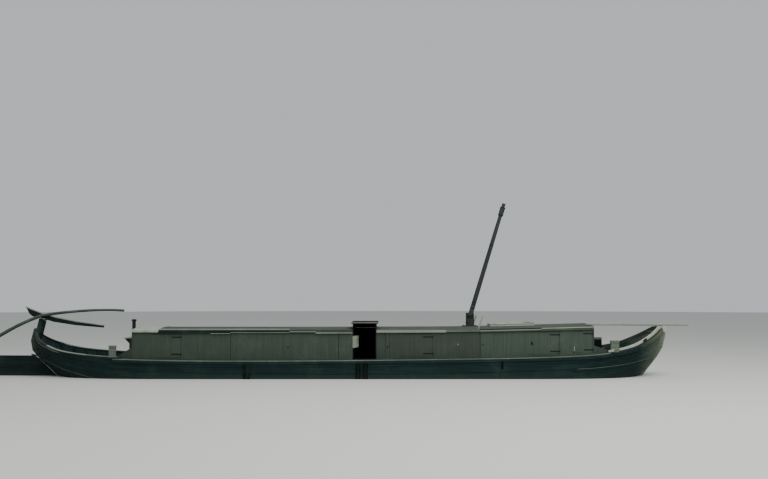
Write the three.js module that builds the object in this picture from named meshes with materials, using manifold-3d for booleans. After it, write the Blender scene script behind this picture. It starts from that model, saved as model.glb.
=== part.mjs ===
// River barge: a small flat-bottomed wooden boat with pointed, raised ends, a long low
// deckhouse, a mast that lowers aft, side shutters and one very large hung rudder.
// Millimetres. +X to the bow, +Y to port, +Z up. Origin on the flat bottom, amidships.
import * as THREE from 'three';
import { mergeVertices } from 'three/addons/utils/BufferGeometryUtils.js';
import Module from 'manifold-3d';

const wasm = await Module();
wasm.setup();

// Driving dimensions
const TOUCH = 0.3;
const PLANK = 55;
const BOTTOM_THICK = 65;
const POST_HALF = 60;
const POST_HEEL = 9160;
const STEM_HEAD = 2320;
const HOUSE_HALF = 1125;
const HOUSE_WALL = 40;
const HOUSE_AFT = -7243;
const HOUSE_FORE = 8267;
const DECK_THICK = 45;
const DECK_SEAM = 4;
const WALL_BELOW_DECK = 110;
const ROOF_OVERHANG = 55;
const ROOF_EDGE = 80;
const ROOF_CAMBER = 65;
const ROOF_BOARD = 65;
const ROOF_SEAT = 1070;
const ROOF_OVER_COMPANION = 2420;
const HOOD = { board: 40, eaves: 60, side: 30, headFoot: 2020 };
const COMPANION = { aft: 166, fore: 963 };
const HOLD_FORE = 4446;
const SEAT_TOP = 1935;
const LEAF_THICK = 30;
const LEAF_GAP = 6;
const LEAF_START = 20;
const JAMB = 40;
const SILL = 45;
const DOOR_TOP = 2012;
const HALF_DOOR = { bottom: 1612, ajar: THREE.MathUtils.degToRad(72) };
const CROWN_HALF = 300;
const ROOF_STATIONS = [ROOF_SEAT, 1000, 880, 650, CROWN_HALF];
const HATCH = { aft: 4870, fore: 6370, half: 450, wall: 40, top: 205 };
const TABERNACLE = { heel: 75, cheekGap: 10, cheek: 60 };
const KNUCKLE_RADIUS = 12;
const RUDDER_HALF = 55;
const RUDDER_PIN = 18;
const RUDDER_TILT = THREE.MathUtils.degToRad(13);
const RUDDER_FOOT = { x: -11000, z: 1220 };
const MAST_LEAN = THREE.MathUtils.degToRad(17.2);
const MAST_LENGTH = 4130;
const MAST_PIVOT = { x: 4210, z: 2640 };

// Hull lines, stern to bow. Columns: x, half breadth and height of the rail line, the same
// for the chine, then x and half breadth of the flat bottom's edge.
const HULL_LINES = [
  [-10860, 90, 2050, -10640, 90, 1190, -9390, 90],
  [-10700, 400, 1860, -10430, 330, 1150, -9250, 300],
  [-10330, 750, 1655, -10070, 640, 1050, -9000, 540],
  [-9650, 1110, 1450, -9450, 960, 850, -8550, 840],
  [-8600, 1370, 1320, -8400, 1230, 600, -7700, 1110],
  [-7300, 1470, 1250, -7100, 1380, 440, -6700, 1280],
  [-5000, 1500, 1205, -4900, 1450, 300, -4800, 1380],
  [-1500, 1500, 1205, -1500, 1460, 250, -1500, 1400],
  [2500, 1500, 1245, 2500, 1460, 250, 2500, 1400],
  [6000, 1490, 1305, 5900, 1440, 310, 5700, 1370],
  [8000, 1430, 1380, 7750, 1340, 480, 7200, 1260],
  [9000, 1300, 1485, 8800, 1150, 700, 8100, 1060],
  [9650, 1090, 1610, 9500, 930, 890, 8750, 800],
  [10240, 770, 1855, 10050, 640, 1070, 9200, 530],
  [10620, 430, 2065, 10400, 340, 1190, 9370, 290],
  [10880, 90, 2230, 10580, 90, 1240, 9480, 90],
];

// Top of the deckhouse walls. Columns: x, height.
const WALL_TOP = [[-9000, 2120], [-1000, 2120], [3000, 2132], [4446, 2150], [6500, 2200], [9500, 2280]];

// Side shutters of the deckhouse. Columns: name, aft edge, fore edge; hinged at the fore edge.
const SHUTTERS = [
  ['aft', -6620, -5604],
  ['hold', 1828, 2842],
  ['cabin', 6085, 7098],
  ['fore', 7571, 8222],
];

// Upright rubbing timbers on each side. Columns: x, width.
const FENDERS = [[-3330, 230], [365, 165], [605, 165]];

const timber = (color) => new THREE.MeshStandardMaterial({ color, roughness: 0.85, metalness: 0 });
const TARRED = 0x3c4044;
const PAINTED = 0x6d766f;
const PALE = 0xb7b7a4;
const WHITE = 0xd9d8c6;
const DARK = 0x2b2e30;

const barge = new THREE.Group();

function add(name, geometry, color) {
  const mesh = new THREE.Mesh(geometry, timber(color));
  mesh.name = name;
  barge.add(mesh);
}

// Solids and booleans
function welded(geometry) {
  const plain = geometry.clone();
  plain.deleteAttribute('normal');
  plain.deleteAttribute('uv');
  return mergeVertices(plain, 0.001);
}

function toManifold(geometry) {
  const closed = welded(geometry);
  return new wasm.Manifold(new wasm.Mesh({
    numProp: 3,
    vertProperties: new Float32Array(closed.attributes.position.array),
    triVerts: new Uint32Array(closed.index.array),
  }));
}

function fromManifold(solid) {
  const mesh = solid.getMesh();
  const geometry = new THREE.BufferGeometry();
  geometry.setAttribute('position', new THREE.BufferAttribute(new Float32Array(mesh.vertProperties), 3));
  geometry.setIndex(new THREE.BufferAttribute(new Uint32Array(mesh.triVerts), 1));
  return geometry;
}

function joined(geometries) {
  return fromManifold(geometries.map(toManifold).reduce((whole, next) => whole.add(next)));
}

function cut(geometry, tools) {
  const solids = tools.map(toManifold);
  return fromManifold(solids.reduce((left, tool) => left.subtract(tool), toManifold(geometry)));
}

function box(x0, x1, y0, y1, z0, z1) {
  const geometry = new THREE.BoxGeometry(x1 - x0, y1 - y0, z1 - z0);
  geometry.translate((x0 + x1) / 2, (y0 + y1) / 2, (z0 + z1) / 2);
  return geometry;
}

// A shape drawn in x and z, extruded across the boat from y0 to y1.
function sideways(points, y0, y1) {
  const shape = new THREE.Shape(points.map(([x, z]) => new THREE.Vector2(x, z)));
  const geometry = new THREE.ExtrudeGeometry(shape, { depth: y1 - y0, bevelEnabled: false });
  geometry.rotateX(Math.PI / 2);
  geometry.translate(0, y1, 0);
  return geometry;
}

function turnedOut(geometry) {
  const order = geometry.index.array;
  for (let i = 0; i < order.length; i += 3) {
    [order[i], order[i + 1]] = [order[i + 1], order[i]];
  }
  return geometry;
}

// A mirror image along x, y or neither, with its faces still pointing out.
function flipped(geometry, alongX, alongY) {
  const other = welded(geometry);
  other.scale(alongX, alongY, 1);
  return alongX * alongY < 0 ? turnedOut(other) : other;
}

// Adds a piece drawn on the port side and its mirror image on the starboard side.
function addPair(name, geometry, color) {
  add(`${name}_port`, geometry, color);
  add(`${name}_starboard`, flipped(geometry, 1, -1), color);
}

// A closed skin over equal rings of points.
function loft(rings) {
  const count = rings[0].length;
  const position = rings.flat().flatMap((point) => [point.x, point.y, point.z]);
  const index = [];
  for (let i = 0; i + 1 < rings.length; i += 1) {
    for (let j = 0; j < count; j += 1) {
      const a = i * count + j;
      const b = i * count + ((j + 1) % count);
      index.push(a, a + count, b, b, a + count, b + count);
    }
  }
  const last = (rings.length - 1) * count;
  for (let j = 0; j < count / 2 - 1; j += 1) {
    const [a, b, c, d] = [j, j + 1, count - 2 - j, count - 1 - j];
    index.push(a, b, c, a, c, d);
    index.push(last + a, last + c, last + b, last + a, last + d, last + c);
  }
  const geometry = new THREE.BufferGeometry();
  geometry.setAttribute('position', new THREE.Float32BufferAttribute(position, 3));
  geometry.setIndex(index);
  const solid = welded(geometry);
  return volume(solid) < 0 ? turnedOut(solid) : solid;
}

function volume(geometry) {
  const p = geometry.attributes.position;
  const order = geometry.index.array;
  const [a, b, c] = [new THREE.Vector3(), new THREE.Vector3(), new THREE.Vector3()];
  let sum = 0;
  for (let i = 0; i < order.length; i += 3) {
    a.fromBufferAttribute(p, order[i]);
    b.fromBufferAttribute(p, order[i + 1]);
    c.fromBufferAttribute(p, order[i + 2]);
    sum += a.dot(b.cross(c)) / 6;
  }
  return sum;
}

// Hull curves on the port side
const curveOf = (pick) => new THREE.CatmullRomCurve3(HULL_LINES.map(pick), false, 'catmullrom', 0.5);
const railCurve = curveOf((row) => new THREE.Vector3(row[0], row[1], row[2]));
const chineCurve = curveOf((row) => new THREE.Vector3(row[3], row[4], row[5]));
const bottomCurve = curveOf((row) => new THREE.Vector3(row[6], row[7], 0));

// The unit vector from a hull curve into the boat, level.
function inward(curve, t) {
  const along = curve.getTangent(t);
  return new THREE.Vector3(along.y, -along.x, 0).normalize();
}

// A point on a hull curve, moved inboard and up, that stays clear of the end posts.
function offset(curve, t, inboard, up = 0) {
  const point = curve.getPoint(t).addScaledVector(inward(curve, t), inboard);
  point.z += up;
  point.y = Math.max(point.y, POST_HALF + TOUCH);
  return point;
}

// Where along a curve the boat's x is reached.
function at(curve, x) {
  let [low, high] = [0, 1];
  for (let i = 0; i < 40; i += 1) {
    const middle = (low + high) / 2;
    if (curve.getPoint(middle).x < x) low = middle;
    else high = middle;
  }
  return low;
}

const railPoint = (x) => railCurve.getPoint(at(railCurve, x));
const railHeight = (x) => railPoint(x).z;

function wallTop(x) {
  const i = WALL_TOP.findIndex(([edge]) => edge > x);
  const [x0, z0] = WALL_TOP[i - 1];
  const [x1, z1] = WALL_TOP[i];
  return z0 + ((z1 - z0) * (x - x0)) / (x1 - x0);
}

// Places along the deckhouse where the line of its wall tops starts, bends and ends.
const topStops = (x0, x1) => [x0, ...WALL_TOP.map(([x]) => x).filter((x) => x > x0 + 10 && x < x1 - 10), x1];

function spread(from, to, count) {
  return Array.from({ length: count + 1 }, (_, i) => from + ((to - from) * i) / count);
}

// Rings along the boat, closer together towards its ends. What lies along the hull has its rings
// at the same places, so that the flat facets match.
const RINGS = 60;
const hullSteps = spread(0, 1, RINGS);

function buildHull() {
  const planking = loft(hullSteps.map((t) => [
    offset(bottomCurve, t, 0),
    offset(chineCurve, t, 0),
    offset(railCurve, t, 0),
    offset(railCurve, t, PLANK),
    offset(chineCurve, t, PLANK),
    offset(bottomCurve, t, PLANK),
  ]));
  addPair('hull_side', joined([planking, ...FENDERS.map(([x, width]) => fender(x, width))]), TARRED);

  const heel = POST_HEEL - TOUCH;
  const edge = hullSteps.map((t) => offset(bottomCurve, t, PLANK + TOUCH)).map((p) => [p.x, p.y]);
  const half = [[-heel, POST_HALF + TOUCH], ...edge, [heel, POST_HALF + TOUCH]];
  const outline = [...half, ...half.slice().reverse().map(([x, y]) => [x, -y])];
  const shape = new THREE.Shape(outline.map(([x, y]) => new THREE.Vector2(x, y)));
  const bottom = new THREE.ExtrudeGeometry(shape, { depth: BOTTOM_THICK, bevelEnabled: false });
  add('bottom_planking', bottom, DARK);
}

// An upright rubbing timber on the topsides, from under the rail to below the waterline.
function fender(x, width) {
  const t = at(railCurve, x);
  const [rail, chine] = [railCurve.getPoint(t), chineCurve.getPoint(t)];
  const level = (z) => {
    const y = chine.y + ((rail.y - chine.y) * (z - chine.z)) / (rail.z - chine.z);
    return [[-1, -12], [1, -12], [1, 62], [-1, 62]]
      .map(([end, out]) => new THREE.Vector3(x + (end * width) / 2, y + out, z));
  };
  return loft([level(430), level(rail.z - 80)]);
}

// The pale strake along the bow, which drops from mid topsides to the chine at the stem. It is
// drawn into the planking and cut back to lie on it.
function buildBowStrake() {
  const strake = alongRail(7750, 10600, (t, u) => {
    const [low, high] = [offset(chineCurve, t, 0), offset(railCurve, t, 0)];
    const level = (drop) => low.clone().lerp(high, 0.5 - 0.44 * u + drop / (high.z - low.z));
    const aside = (point, distance) => point.addScaledVector(inward(railCurve, t), distance);
    return [aside(level(-32), 12), aside(level(-32), -38), aside(level(32), -38), aside(level(32), 12)];
  });
  const topsides = loft(hullSteps.map((t) => [
    offset(chineCurve, t, -TOUCH),
    offset(railCurve, t, -TOUCH),
    offset(railCurve, t, PLANK),
    offset(chineCurve, t, PLANK),
  ]));
  addPair('bow_strake', cut(strake, [topsides]), PALE);
}

// Stem and stern timbers, drawn in profile.
function buildPosts() {
  const stem = [
    [POST_HEEL, 0], [9580, 0], [10160, 600], [10680, 1250], [10880, 1570], [10990, 1960], [11010, STEM_HEAD],
    [10800, STEM_HEAD], [10770, 1960], [10680, 1640], [10470, 1330], [9970, 760], [9400, 160],
  ];
  add('stem_post', sideways(stem, -POST_HALF, POST_HALF), PALE);

  const stern = [
    [-POST_HEEL, 0], [-9480, 0], [-10010, 540], [-10740, 1200], [-10980, 1480], [-11040, 1810],
    [-10940, 2230], [-10740, 2230], [-10830, 1810], [-10760, 1500], [-10520, 1290], [-9850, 660],
    [-9300, 160],
  ];
  const sternTimber = sideways(stern, -POST_HALF, POST_HALF);
  const head = onRudderAxis(box(-85, 85, -50, 50, 700, 1345));
  const headPin = onRudderAxis(cylinder(RUDDER_PIN, 1340, 1400 - TOUCH));
  const gudgeon = onRudderAxis(box(-45, 220, -50, 50, 85, 120));
  const footPin = onRudderAxis(cylinder(RUDDER_PIN, -150, 90));
  add('stern_post', joined([sternTimber, head, headPin, gudgeon, footPin]), TARRED);
}

// A cylinder along z.
function cylinder(radius, z0, z1, sides = 16) {
  const geometry = new THREE.CylinderGeometry(radius, radius, z1 - z0, sides);
  geometry.rotateX(Math.PI / 2);
  geometry.translate(0, 0, (z0 + z1) / 2);
  return geometry;
}

// Turns a piece drawn round an upright axis onto the rudder's leaning one.
function onRudderAxis(geometry) {
  geometry.rotateY(RUDDER_TILT);
  geometry.translate(RUDDER_FOOT.x, 0, RUDDER_FOOT.z);
  return geometry;
}

// Rails, gunwales, bulwarks and decks, all along the rail line
function alongRail(x0, x1, ring) {
  const [first, last] = [x0, x1].map((x) => Math.round(at(railCurve, x) * RINGS));
  const stops = hullSteps.slice(first, last + 1);
  return loft(stops.map((t, i) => ring(t, i / (last - first))));
}

function buildEdges() {
  const section = (curve, t, inner, outer, low, high) => [
    offset(curve, t, outer, low), offset(curve, t, inner, low),
    offset(curve, t, inner, high), offset(curve, t, outer, high),
  ];
  const railStrip = alongRail(-7800, 10600, (t) => section(railCurve, t, -TOUCH, -48, -75, 0));
  addPair('rail', railStrip, PALE);

  const gunwale = alongRail(-10850, -7640, (t) => section(railCurve, t, 75, -25, TOUCH, 82));
  const sternBitt = box(-7930, -7690, 1345, 1475, railHeight(-7810) + 40, railHeight(-7810) + 440);
  addPair('stern_gunwale', joined([gunwale, sternBitt]), PALE);

  const bulwark = alongRail(8700, 10860, (t, u) => {
    const height = Math.min(95 + 125 * u, STEM_HEAD - 4 - railCurve.getPoint(t).z);
    return section(railCurve, t, 55, -5, TOUCH, height);
  });
  const bowBitt = box(8790, 9080, 1190, 1330, railHeight(8900) + 40, railHeight(8900) + 400);
  addPair('bow_bulwark', joined([bulwark, bowBitt]), WHITE);

  const deck = alongRail(-7760, 8820, (t) => {
    const edge = offset(railCurve, t, PLANK + DECK_SEAM);
    const lower = offset(chineCurve, t, PLANK + DECK_SEAM);
    const under = edge.clone().lerp(lower, DECK_THICK / (edge.z - lower.z));
    const inner = (point) => new THREE.Vector3(point.x, HOUSE_HALF + TOUCH, point.z);
    return [inner(edge), edge, under, inner(under)];
  });
  addPair('side_deck', deck, PALE);
}

function buildFloors() {
  const plan = (points, z0, z1) => {
    const all = [...points, ...points.slice().reverse().map(([x, y]) => [x, -y])];
    const shape = new THREE.Shape(all.map(([x, y]) => new THREE.Vector2(x, y)));
    const geometry = new THREE.ExtrudeGeometry(shape, { depth: z1 - z0, bevelEnabled: false });
    geometry.translate(0, 0, z0);
    return geometry;
  };
  const sternStops = [[-9900, 560], [-9600, 790], [-9000, 1000], [-8300, 1140], [HOUSE_AFT - TOUCH, 1230]];
  add('stern_floor', plan(sternStops, 935, 970), PALE);
  const bowStops = [[HOUSE_FORE + TOUCH, 1180], [8900, 960], [9500, 640], [9800, 440]];
  add('bow_floor', plan(bowStops, 1035, 1070), PALE);
}

// Deckhouse
function wallOutline(x0, x1, steps, aftCheek, foreCheek) {
  const low = spread(x0, x1, steps).map((x) => [x, railHeight(x) - WALL_BELOW_DECK]);
  const high = topStops(x0, x1).map((x) => [x, wallTop(x)]).reverse();
  if (aftCheek) {
    low.unshift([x0 - 500, railHeight(x0 - 500) - DECK_THICK], [x0 - 0.5, railHeight(x0) - DECK_THICK]);
    high.push([x0, 1630], [x0 - 500, railHeight(x0 - 500) + 60]);
  }
  if (foreCheek) {
    low.push([x1 + 0.5, railHeight(x1) - DECK_THICK], [x1 + 540, railHeight(x1 + 540) - DECK_THICK]);
    high.unshift([x1 + 540, railHeight(x1 + 540) + 60], [x1, 1690]);
  }
  return [...low, ...high];
}

const shutterHeights = (x0, x1) => {
  const middle = (x0 + x1) / 2;
  return [railHeight(middle) + 75, wallTop(middle) - 45];
};

function buildWalls() {
  const sections = [
    ['house_wall_aft', HOUSE_AFT, COMPANION.aft, 14, true, false],
    ['house_wall_hold', COMPANION.fore, HOLD_FORE - TOUCH, 6, false, false],
    ['house_wall_cabin', HOLD_FORE, HOUSE_FORE, 8, false, true],
  ];
  for (const [name, x0, x1, steps, aftCheek, foreCheek] of sections) {
    const outline = wallOutline(x0, x1, steps, aftCheek, foreCheek);
    const wall = sideways(outline, HOUSE_HALF - HOUSE_WALL, HOUSE_HALF);
    const holes = SHUTTERS.filter(([, aft]) => aft > x0 && aft < x1).map(([, aft, fore]) => {
      const [z0, z1] = shutterHeights(aft, fore);
      return box(aft, fore, HOUSE_HALF - 2 * HOUSE_WALL, HOUSE_HALF + HOUSE_WALL, z0, z1);
    });
    addPair(name, cut(wall, holes), PAINTED);
  }
  const aftWall = endWall(HOUSE_AFT, HOUSE_AFT + HOUSE_WALL);
  const seat = box(-7700, HOUSE_AFT + 5, -520, 520, 1900, SEAT_TOP);
  const seatFront = box(-7500, HOUSE_AFT + 5, -480, 480, 1400, 1905);
  const knee = [[-7665, 1905], [-7665, 1865], [-7495, 1690], [-7495, 1905]];
  const knees = [sideways(knee, 360, 410), sideways(knee, -410, -360)];
  add('house_end_aft', joined([aftWall, seat, seatFront, ...knees]), PAINTED);
  add('house_end_fore', endWall(HOUSE_FORE - HOUSE_WALL, HOUSE_FORE), PAINTED);
}

// A bulkhead from the bottom of the hull to the underside of the roof.
function endWall(x0, x1) {
  const inner = HOUSE_HALF - HOUSE_WALL - TOUCH;
  const footOf = { [inner]: 800, [ROOF_SEAT]: 780, 1000: 640, 880: BOTTOM_THICK + TOUCH };
  const port = [inner, ...ROOF_STATIONS];
  const across = [...port, ...port.slice().reverse().map((y) => -y)];
  return loft([x0, x1].map((x) => [
    ...across.map((y) => new THREE.Vector3(x, y, footOf[Math.abs(y)] ?? BOTTOM_THICK + TOUCH)),
    ...across.slice().reverse().map((y) => new THREE.Vector3(x, y, wallTop(x0) + underRoof(y) - TOUCH)),
  ]));
}

// A leaf with two straps, drawn round its upright hinge pin. It reaches along u from the pin,
// and v points away from the face that the pin lies on.
function leaf(width, z0, z1) {
  const face = -KNUCKLE_RADIUS - TOUCH;
  const plate = box(LEAF_START, LEAF_START + width, face - LEAF_THICK, face, z0, z1);
  const fittings = [z0 + 0.13 * (z1 - z0), z1 - 0.13 * (z1 - z0)].flatMap((z) => {
    const knuckle = cylinder(KNUCKLE_RADIUS, z - 25, z + 25, 12);
    const strap = box(LEAF_START, 320, face - 2, face + 8, z - 22, z + 22);
    const link = box(0, LEAF_START + 5, face + TOUCH, face + 8, z - 22, z + 22);
    return [strap, link, knuckle];
  });
  return joined([plate, ...fittings]);
}

function buildLeaves() {
  const outerPin = HOUSE_HALF + KNUCKLE_RADIUS + TOUCH;
  for (const [name, aft, fore] of SHUTTERS) {
    const [z0, z1] = shutterHeights(aft, fore);
    const shutter = flipped(leaf(fore - aft - 2 * LEAF_GAP, z0 + LEAF_GAP, z1 - LEAF_GAP), -1, 1);
    shutter.translate(fore + LEAF_START - LEAF_GAP, outerPin, 0);
    addPair(`shutter_${name}`, shutter, PAINTED);
  }
  const innerPin = HOUSE_HALF - HOUSE_WALL - KNUCKLE_RADIUS - TOUCH;
  const doorPin = COMPANION.aft + JAMB + LEAF_GAP - LEAF_START;
  const opening = COMPANION.fore - COMPANION.aft - 2 * JAMB;
  const sill = railHeight(COMPANION.aft) + SILL;
  const portDoor = flipped(leaf(opening - 2 * LEAF_GAP, sill + LEAF_GAP, DOOR_TOP), 1, -1);
  portDoor.translate(doorPin, innerPin, 0);
  add('door_port', portDoor, PAINTED);
  const halfDoor = leaf(opening - 2 * LEAF_GAP, HALF_DOOR.bottom, DOOR_TOP);
  halfDoor.rotateZ(HALF_DOOR.ajar);
  halfDoor.translate(doorPin, -innerPin, 0);
  add('half_door_starboard', halfDoor, PALE);
}

// Roofs. A piece drawn with z counted from the top of the walls is raised to follow them.
function raised(geometry) {
  const position = geometry.attributes.position;
  for (let i = 0; i < position.count; i += 1) {
    position.setZ(i, position.getZ(i) + wallTop(position.getX(i)));
  }
  return geometry;
}

const ROOF_HALF = HOUSE_HALF + ROOF_OVERHANG;
const CROWN = ROOF_EDGE + ROOF_CAMBER;

// Height of the roof's upper face above the wall tops: level in the middle, falling to the sides.
function roofFace(y) {
  const slope = Math.max(0, (Math.abs(y) - CROWN_HALF) / (ROOF_HALF - CROWN_HALF));
  return CROWN - ROOF_CAMBER * slope ** 1.6;
}

// Height of the roof's lower face above the wall tops.
function underRoof(y) {
  return Math.abs(y) < ROOF_SEAT ? Math.max(TOUCH, roofFace(y) - ROOF_BOARD) : TOUCH;
}

function roof(x0, x1) {
  const port = [ROOF_HALF, ...ROOF_STATIONS];
  const across = [...port, ...port.slice().reverse().map((y) => -y)];
  return loft(topStops(x0, x1).map((x) => [
    ...across.map((y) => new THREE.Vector3(x, y, wallTop(x) + underRoof(y))),
    ...across.slice().reverse().map((y) => new THREE.Vector3(x, y, wallTop(x) + roofFace(y))),
  ]));
}

function buildRoofs() {
  add('roof_aft', roof(HOUSE_AFT, COMPANION.aft - TOUCH), PALE);

  const chock = [[4370, wallTop(4370) + 60], [4520, 2670], [4565, 2655], [4415, wallTop(4415) + 60]];
  const chocks = [sideways(chock, 1060, 1110), sideways(chock, -1110, -1060)];
  add('roof_hold', joined([roof(COMPANION.fore + TOUCH, HOLD_FORE - TOUCH), ...chocks]), PALE);

  const { aft, fore, half, wall, top } = HATCH;
  const rim = raised(box(aft, fore, -half, half, CROWN - 20, top));
  const well = raised(box(aft + wall, fore - wall, wall - half, half - wall, -40, top + 20));
  add('roof_cabin', cut(joined([roof(HOLD_FORE, HOUSE_FORE), rim]), [well]), PALE);
  const lap = wall / 2;
  const lid = raised(box(aft - lap, fore + lap, -half - lap, half + lap, top + TOUCH, top + 36));
  add('hatch_lid', lid, WHITE);

  buildHood();
}

// Raised head over the way through the deckhouse, with jambs down to the decks
function buildHood() {
  const { aft, fore } = COMPANION;
  const { board, eaves, side, headFoot } = HOOD;
  const inner = [aft + JAMB, fore - JAMB];
  const low = railHeight(aft) - WALL_BELOW_DECK;
  const top = ROOF_OVER_COMPANION;
  const reach = HOUSE_HALF + side;
  const [portWall, starboardWall] = [HOUSE_HALF - HOUSE_WALL, -HOUSE_HALF];
  const pieces = [
    box(aft - eaves, fore + eaves, -reach, reach, top, top + board),
    box(aft + TOUCH, inner[0], -HOUSE_HALF, HOUSE_HALF, headFoot, top + 5),
    box(inner[1], fore - TOUCH, -HOUSE_HALF, HOUSE_HALF, headFoot, top + 5),
    box(inner[0] - 5, inner[1] + 5, portWall, HOUSE_HALF, headFoot, top + 5),
  ];
  for (const y of [portWall, starboardWall]) {
    pieces.push(box(aft + TOUCH, inner[0], y, y + HOUSE_WALL, low, headFoot + 10));
    pieces.push(box(inner[1], fore - TOUCH, y, y + HOUSE_WALL, low, headFoot + 10));
    pieces.push(box(inner[0] - 5, inner[1] + 5, y, y + HOUSE_WALL, low, railHeight(aft) + SILL));
  }
  add('companion_hood', joined(pieces), PALE);
}

// Mast in its tabernacle, leaning forward as it is carried when towing
function buildMast() {
  const across = (radius, y0, y1) => {
    const pin = new THREE.CylinderGeometry(radius, radius, y1 - y0, 20);
    pin.translate(MAST_PIVOT.x, (y0 + y1) / 2, MAST_PIVOT.z);
    return pin;
  };
  const { x, z } = MAST_PIVOT;
  const { heel, cheekGap, cheek } = TABERNACLE;
  const cheekIn = heel + cheekGap;
  const footHalf = cheekIn + cheek + 40;
  const foot = raised(box(x - 260, x + 235, -footHalf, footHalf, CROWN + TOUCH, CROWN + 40));
  const cheeks = [1, -1].map((side) => {
    const [y0, y1] = [side * cheekIn, side * (cheekIn + cheek)].sort((a, b) => a - b);
    return box(x - 130, x + 130, y0, y1, wallTop(x) + CROWN + 20, z + 130);
  });
  add('tabernacle', joined([foot, ...cheeks, across(20, -cheekIn - 20, cheekIn + 20)]), DARK);

  const profile = [
    [0, 300], [78, 330], [80, 900], [74, 2000], [66, 3350], [62, 3700], [88, 3710], [88, 3990],
    [58, 4000], [56, 4070], [66, 4085], [60, MAST_LENGTH], [0, MAST_LENGTH],
  ];
  const spar = new THREE.LatheGeometry(profile.map(([r, h]) => new THREE.Vector2(r, h)), 20);
  spar.rotateX(Math.PI / 2);
  const mast = joined([spar, box(-heel, heel, -heel, heel, -270, 420)]);
  mast.rotateY(MAST_LEAN);
  mast.translate(x, 0, z);
  add('mast', cut(mast, [across(20 + TOUCH, -200, 200)]), DARK);
}

// Rudder: blade, tiller over the stern head and the long beam from the blade's tail
function buildRudder() {
  const plate = [
    [-13195, 1298], [-13230, 240], [-9670, 175], [-10060, 530], [-10775, 1185], [-10860, 1250],
    [-10975, 1290],
  ].reverse();
  const pinHole = onRudderAxis(cylinder(RUDDER_PIN + 3, -160, 140));
  add('rudder_blade', cut(sideways(plate, -RUDDER_HALF, RUDDER_HALF), [pinHole]), TARRED);

  const tiller = [
    [-648, 1655], [-567, 1580], [-480, 1470], [-346, 1395], [-150, 1390], [-115, 1400], [115, 1400],
    [150, 1385], [431, 1368], [1200, 1425], [2160, 1560], [2160, 1644], [1200, 1562], [431, 1534], [0, 1560],
  ].reverse();
  add('tiller', onRudderAxis(sideways(tiller, -RUDDER_HALF, RUDDER_HALF)), PALE);

  const spine = new THREE.CatmullRomCurve3([
    [-13130, 1110], [-12990, 1400], [-12650, 1680], [-12160, 1951], [-11500, 2320], [-10825, 2616],
    [-10447, 2710], [-9820, 2790], [-9070, 2850], [-8315, 2867], [-7810, 2850],
  ].map(([x, z]) => new THREE.Vector3(x, 0, z)));
  const stops = spread(0, 1, 30);
  const side = (sign) => stops.map((t) => {
    const along = spine.getTangentAt(t);
    const half = sign * (60 - 26 * t);
    const point = spine.getPointAt(t);
    return [point.x - along.z * half, point.z + along.x * half];
  });
  const beam = [...side(-1), ...side(1).reverse()];
  add('steering_beam', sideways(beam, -RUDDER_HALF - TOUCH - 105, -RUDDER_HALF - TOUCH), PALE);
}

function buildFittings() {
  const pipe = { x: -7390, y: -350, top: 2562 };
  const seat = SEAT_TOP + TOUCH;
  const profile = [
    [0, seat], [88, seat], [88, seat + 20], [60, seat + 26], [60, pipe.top - 75], [84, pipe.top - 60],
    [84, pipe.top - 15], [0, pipe.top],
  ];
  const stovePipe = new THREE.LatheGeometry(profile.map(([r, h]) => new THREE.Vector2(r, h)), 20);
  stovePipe.rotateX(Math.PI / 2);
  stovePipe.translate(pipe.x, pipe.y, 0);
  add('stove_pipe', stovePipe, DARK);

  // The pole lies on the edge of the roof, to starboard, and on the head of the stem.
  const radius = 28;
  const roofRest = { x: HOUSE_FORE, y: -850 };
  const aft = new THREE.Vector3(roofRest.x, roofRest.y, wallTop(roofRest.x) + roofFace(roofRest.y));
  const fore = new THREE.Vector3(11010, 0, STEM_HEAD);
  const along = fore.clone().sub(aft).normalize();
  const lift = new THREE.Vector3(-along.z, 0, along.x).setLength(radius + 2 * TOUCH);
  const start = aft.clone().addScaledVector(along, -250).add(lift);
  const end = fore.clone().addScaledVector(along, 930).add(lift);
  const pole = new THREE.CylinderGeometry(radius, radius, start.distanceTo(end), 14);
  pole.applyQuaternion(new THREE.Quaternion().setFromUnitVectors(new THREE.Vector3(0, 1, 0), along));
  const middle = start.clone().add(end).multiplyScalar(0.5);
  pole.translate(middle.x, middle.y, middle.z);
  add('quant_pole', pole, PALE);
}

buildHull();
buildPosts();
buildEdges();
buildBowStrake();
buildFloors();
buildWalls();
buildLeaves();
buildRoofs();
buildMast();
buildRudder();
buildFittings();

export default barge;
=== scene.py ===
import bisect
import math
import random

import bmesh
import bpy
from mathutils import Matrix, Vector


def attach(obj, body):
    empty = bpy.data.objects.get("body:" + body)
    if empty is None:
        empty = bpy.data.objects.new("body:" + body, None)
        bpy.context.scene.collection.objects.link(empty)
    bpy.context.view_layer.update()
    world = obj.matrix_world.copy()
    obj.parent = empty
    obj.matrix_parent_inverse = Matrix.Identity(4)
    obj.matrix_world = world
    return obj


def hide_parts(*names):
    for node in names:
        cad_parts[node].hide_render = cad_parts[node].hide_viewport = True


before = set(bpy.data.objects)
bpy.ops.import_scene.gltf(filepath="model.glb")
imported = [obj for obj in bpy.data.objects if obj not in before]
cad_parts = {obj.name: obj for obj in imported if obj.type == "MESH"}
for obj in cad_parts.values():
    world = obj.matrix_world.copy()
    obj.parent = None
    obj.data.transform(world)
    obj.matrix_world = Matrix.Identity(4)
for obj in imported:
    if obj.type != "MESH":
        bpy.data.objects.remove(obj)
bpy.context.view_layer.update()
dice = random.Random(7)  # one seeded source for every board's tone
sideNames = {1: "port", -1: "starboard"}  # by the sign of y

# Colours and finishes


def toLinear(hexColour):
    values = [int(hexColour[i:i + 2], 16) / 255 for i in (1, 3, 5)]
    return (*[v / 12.92 if v <= 0.04045 else ((v + 0.055) / 1.055) ** 2.4 for v in values], 1.0)


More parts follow.
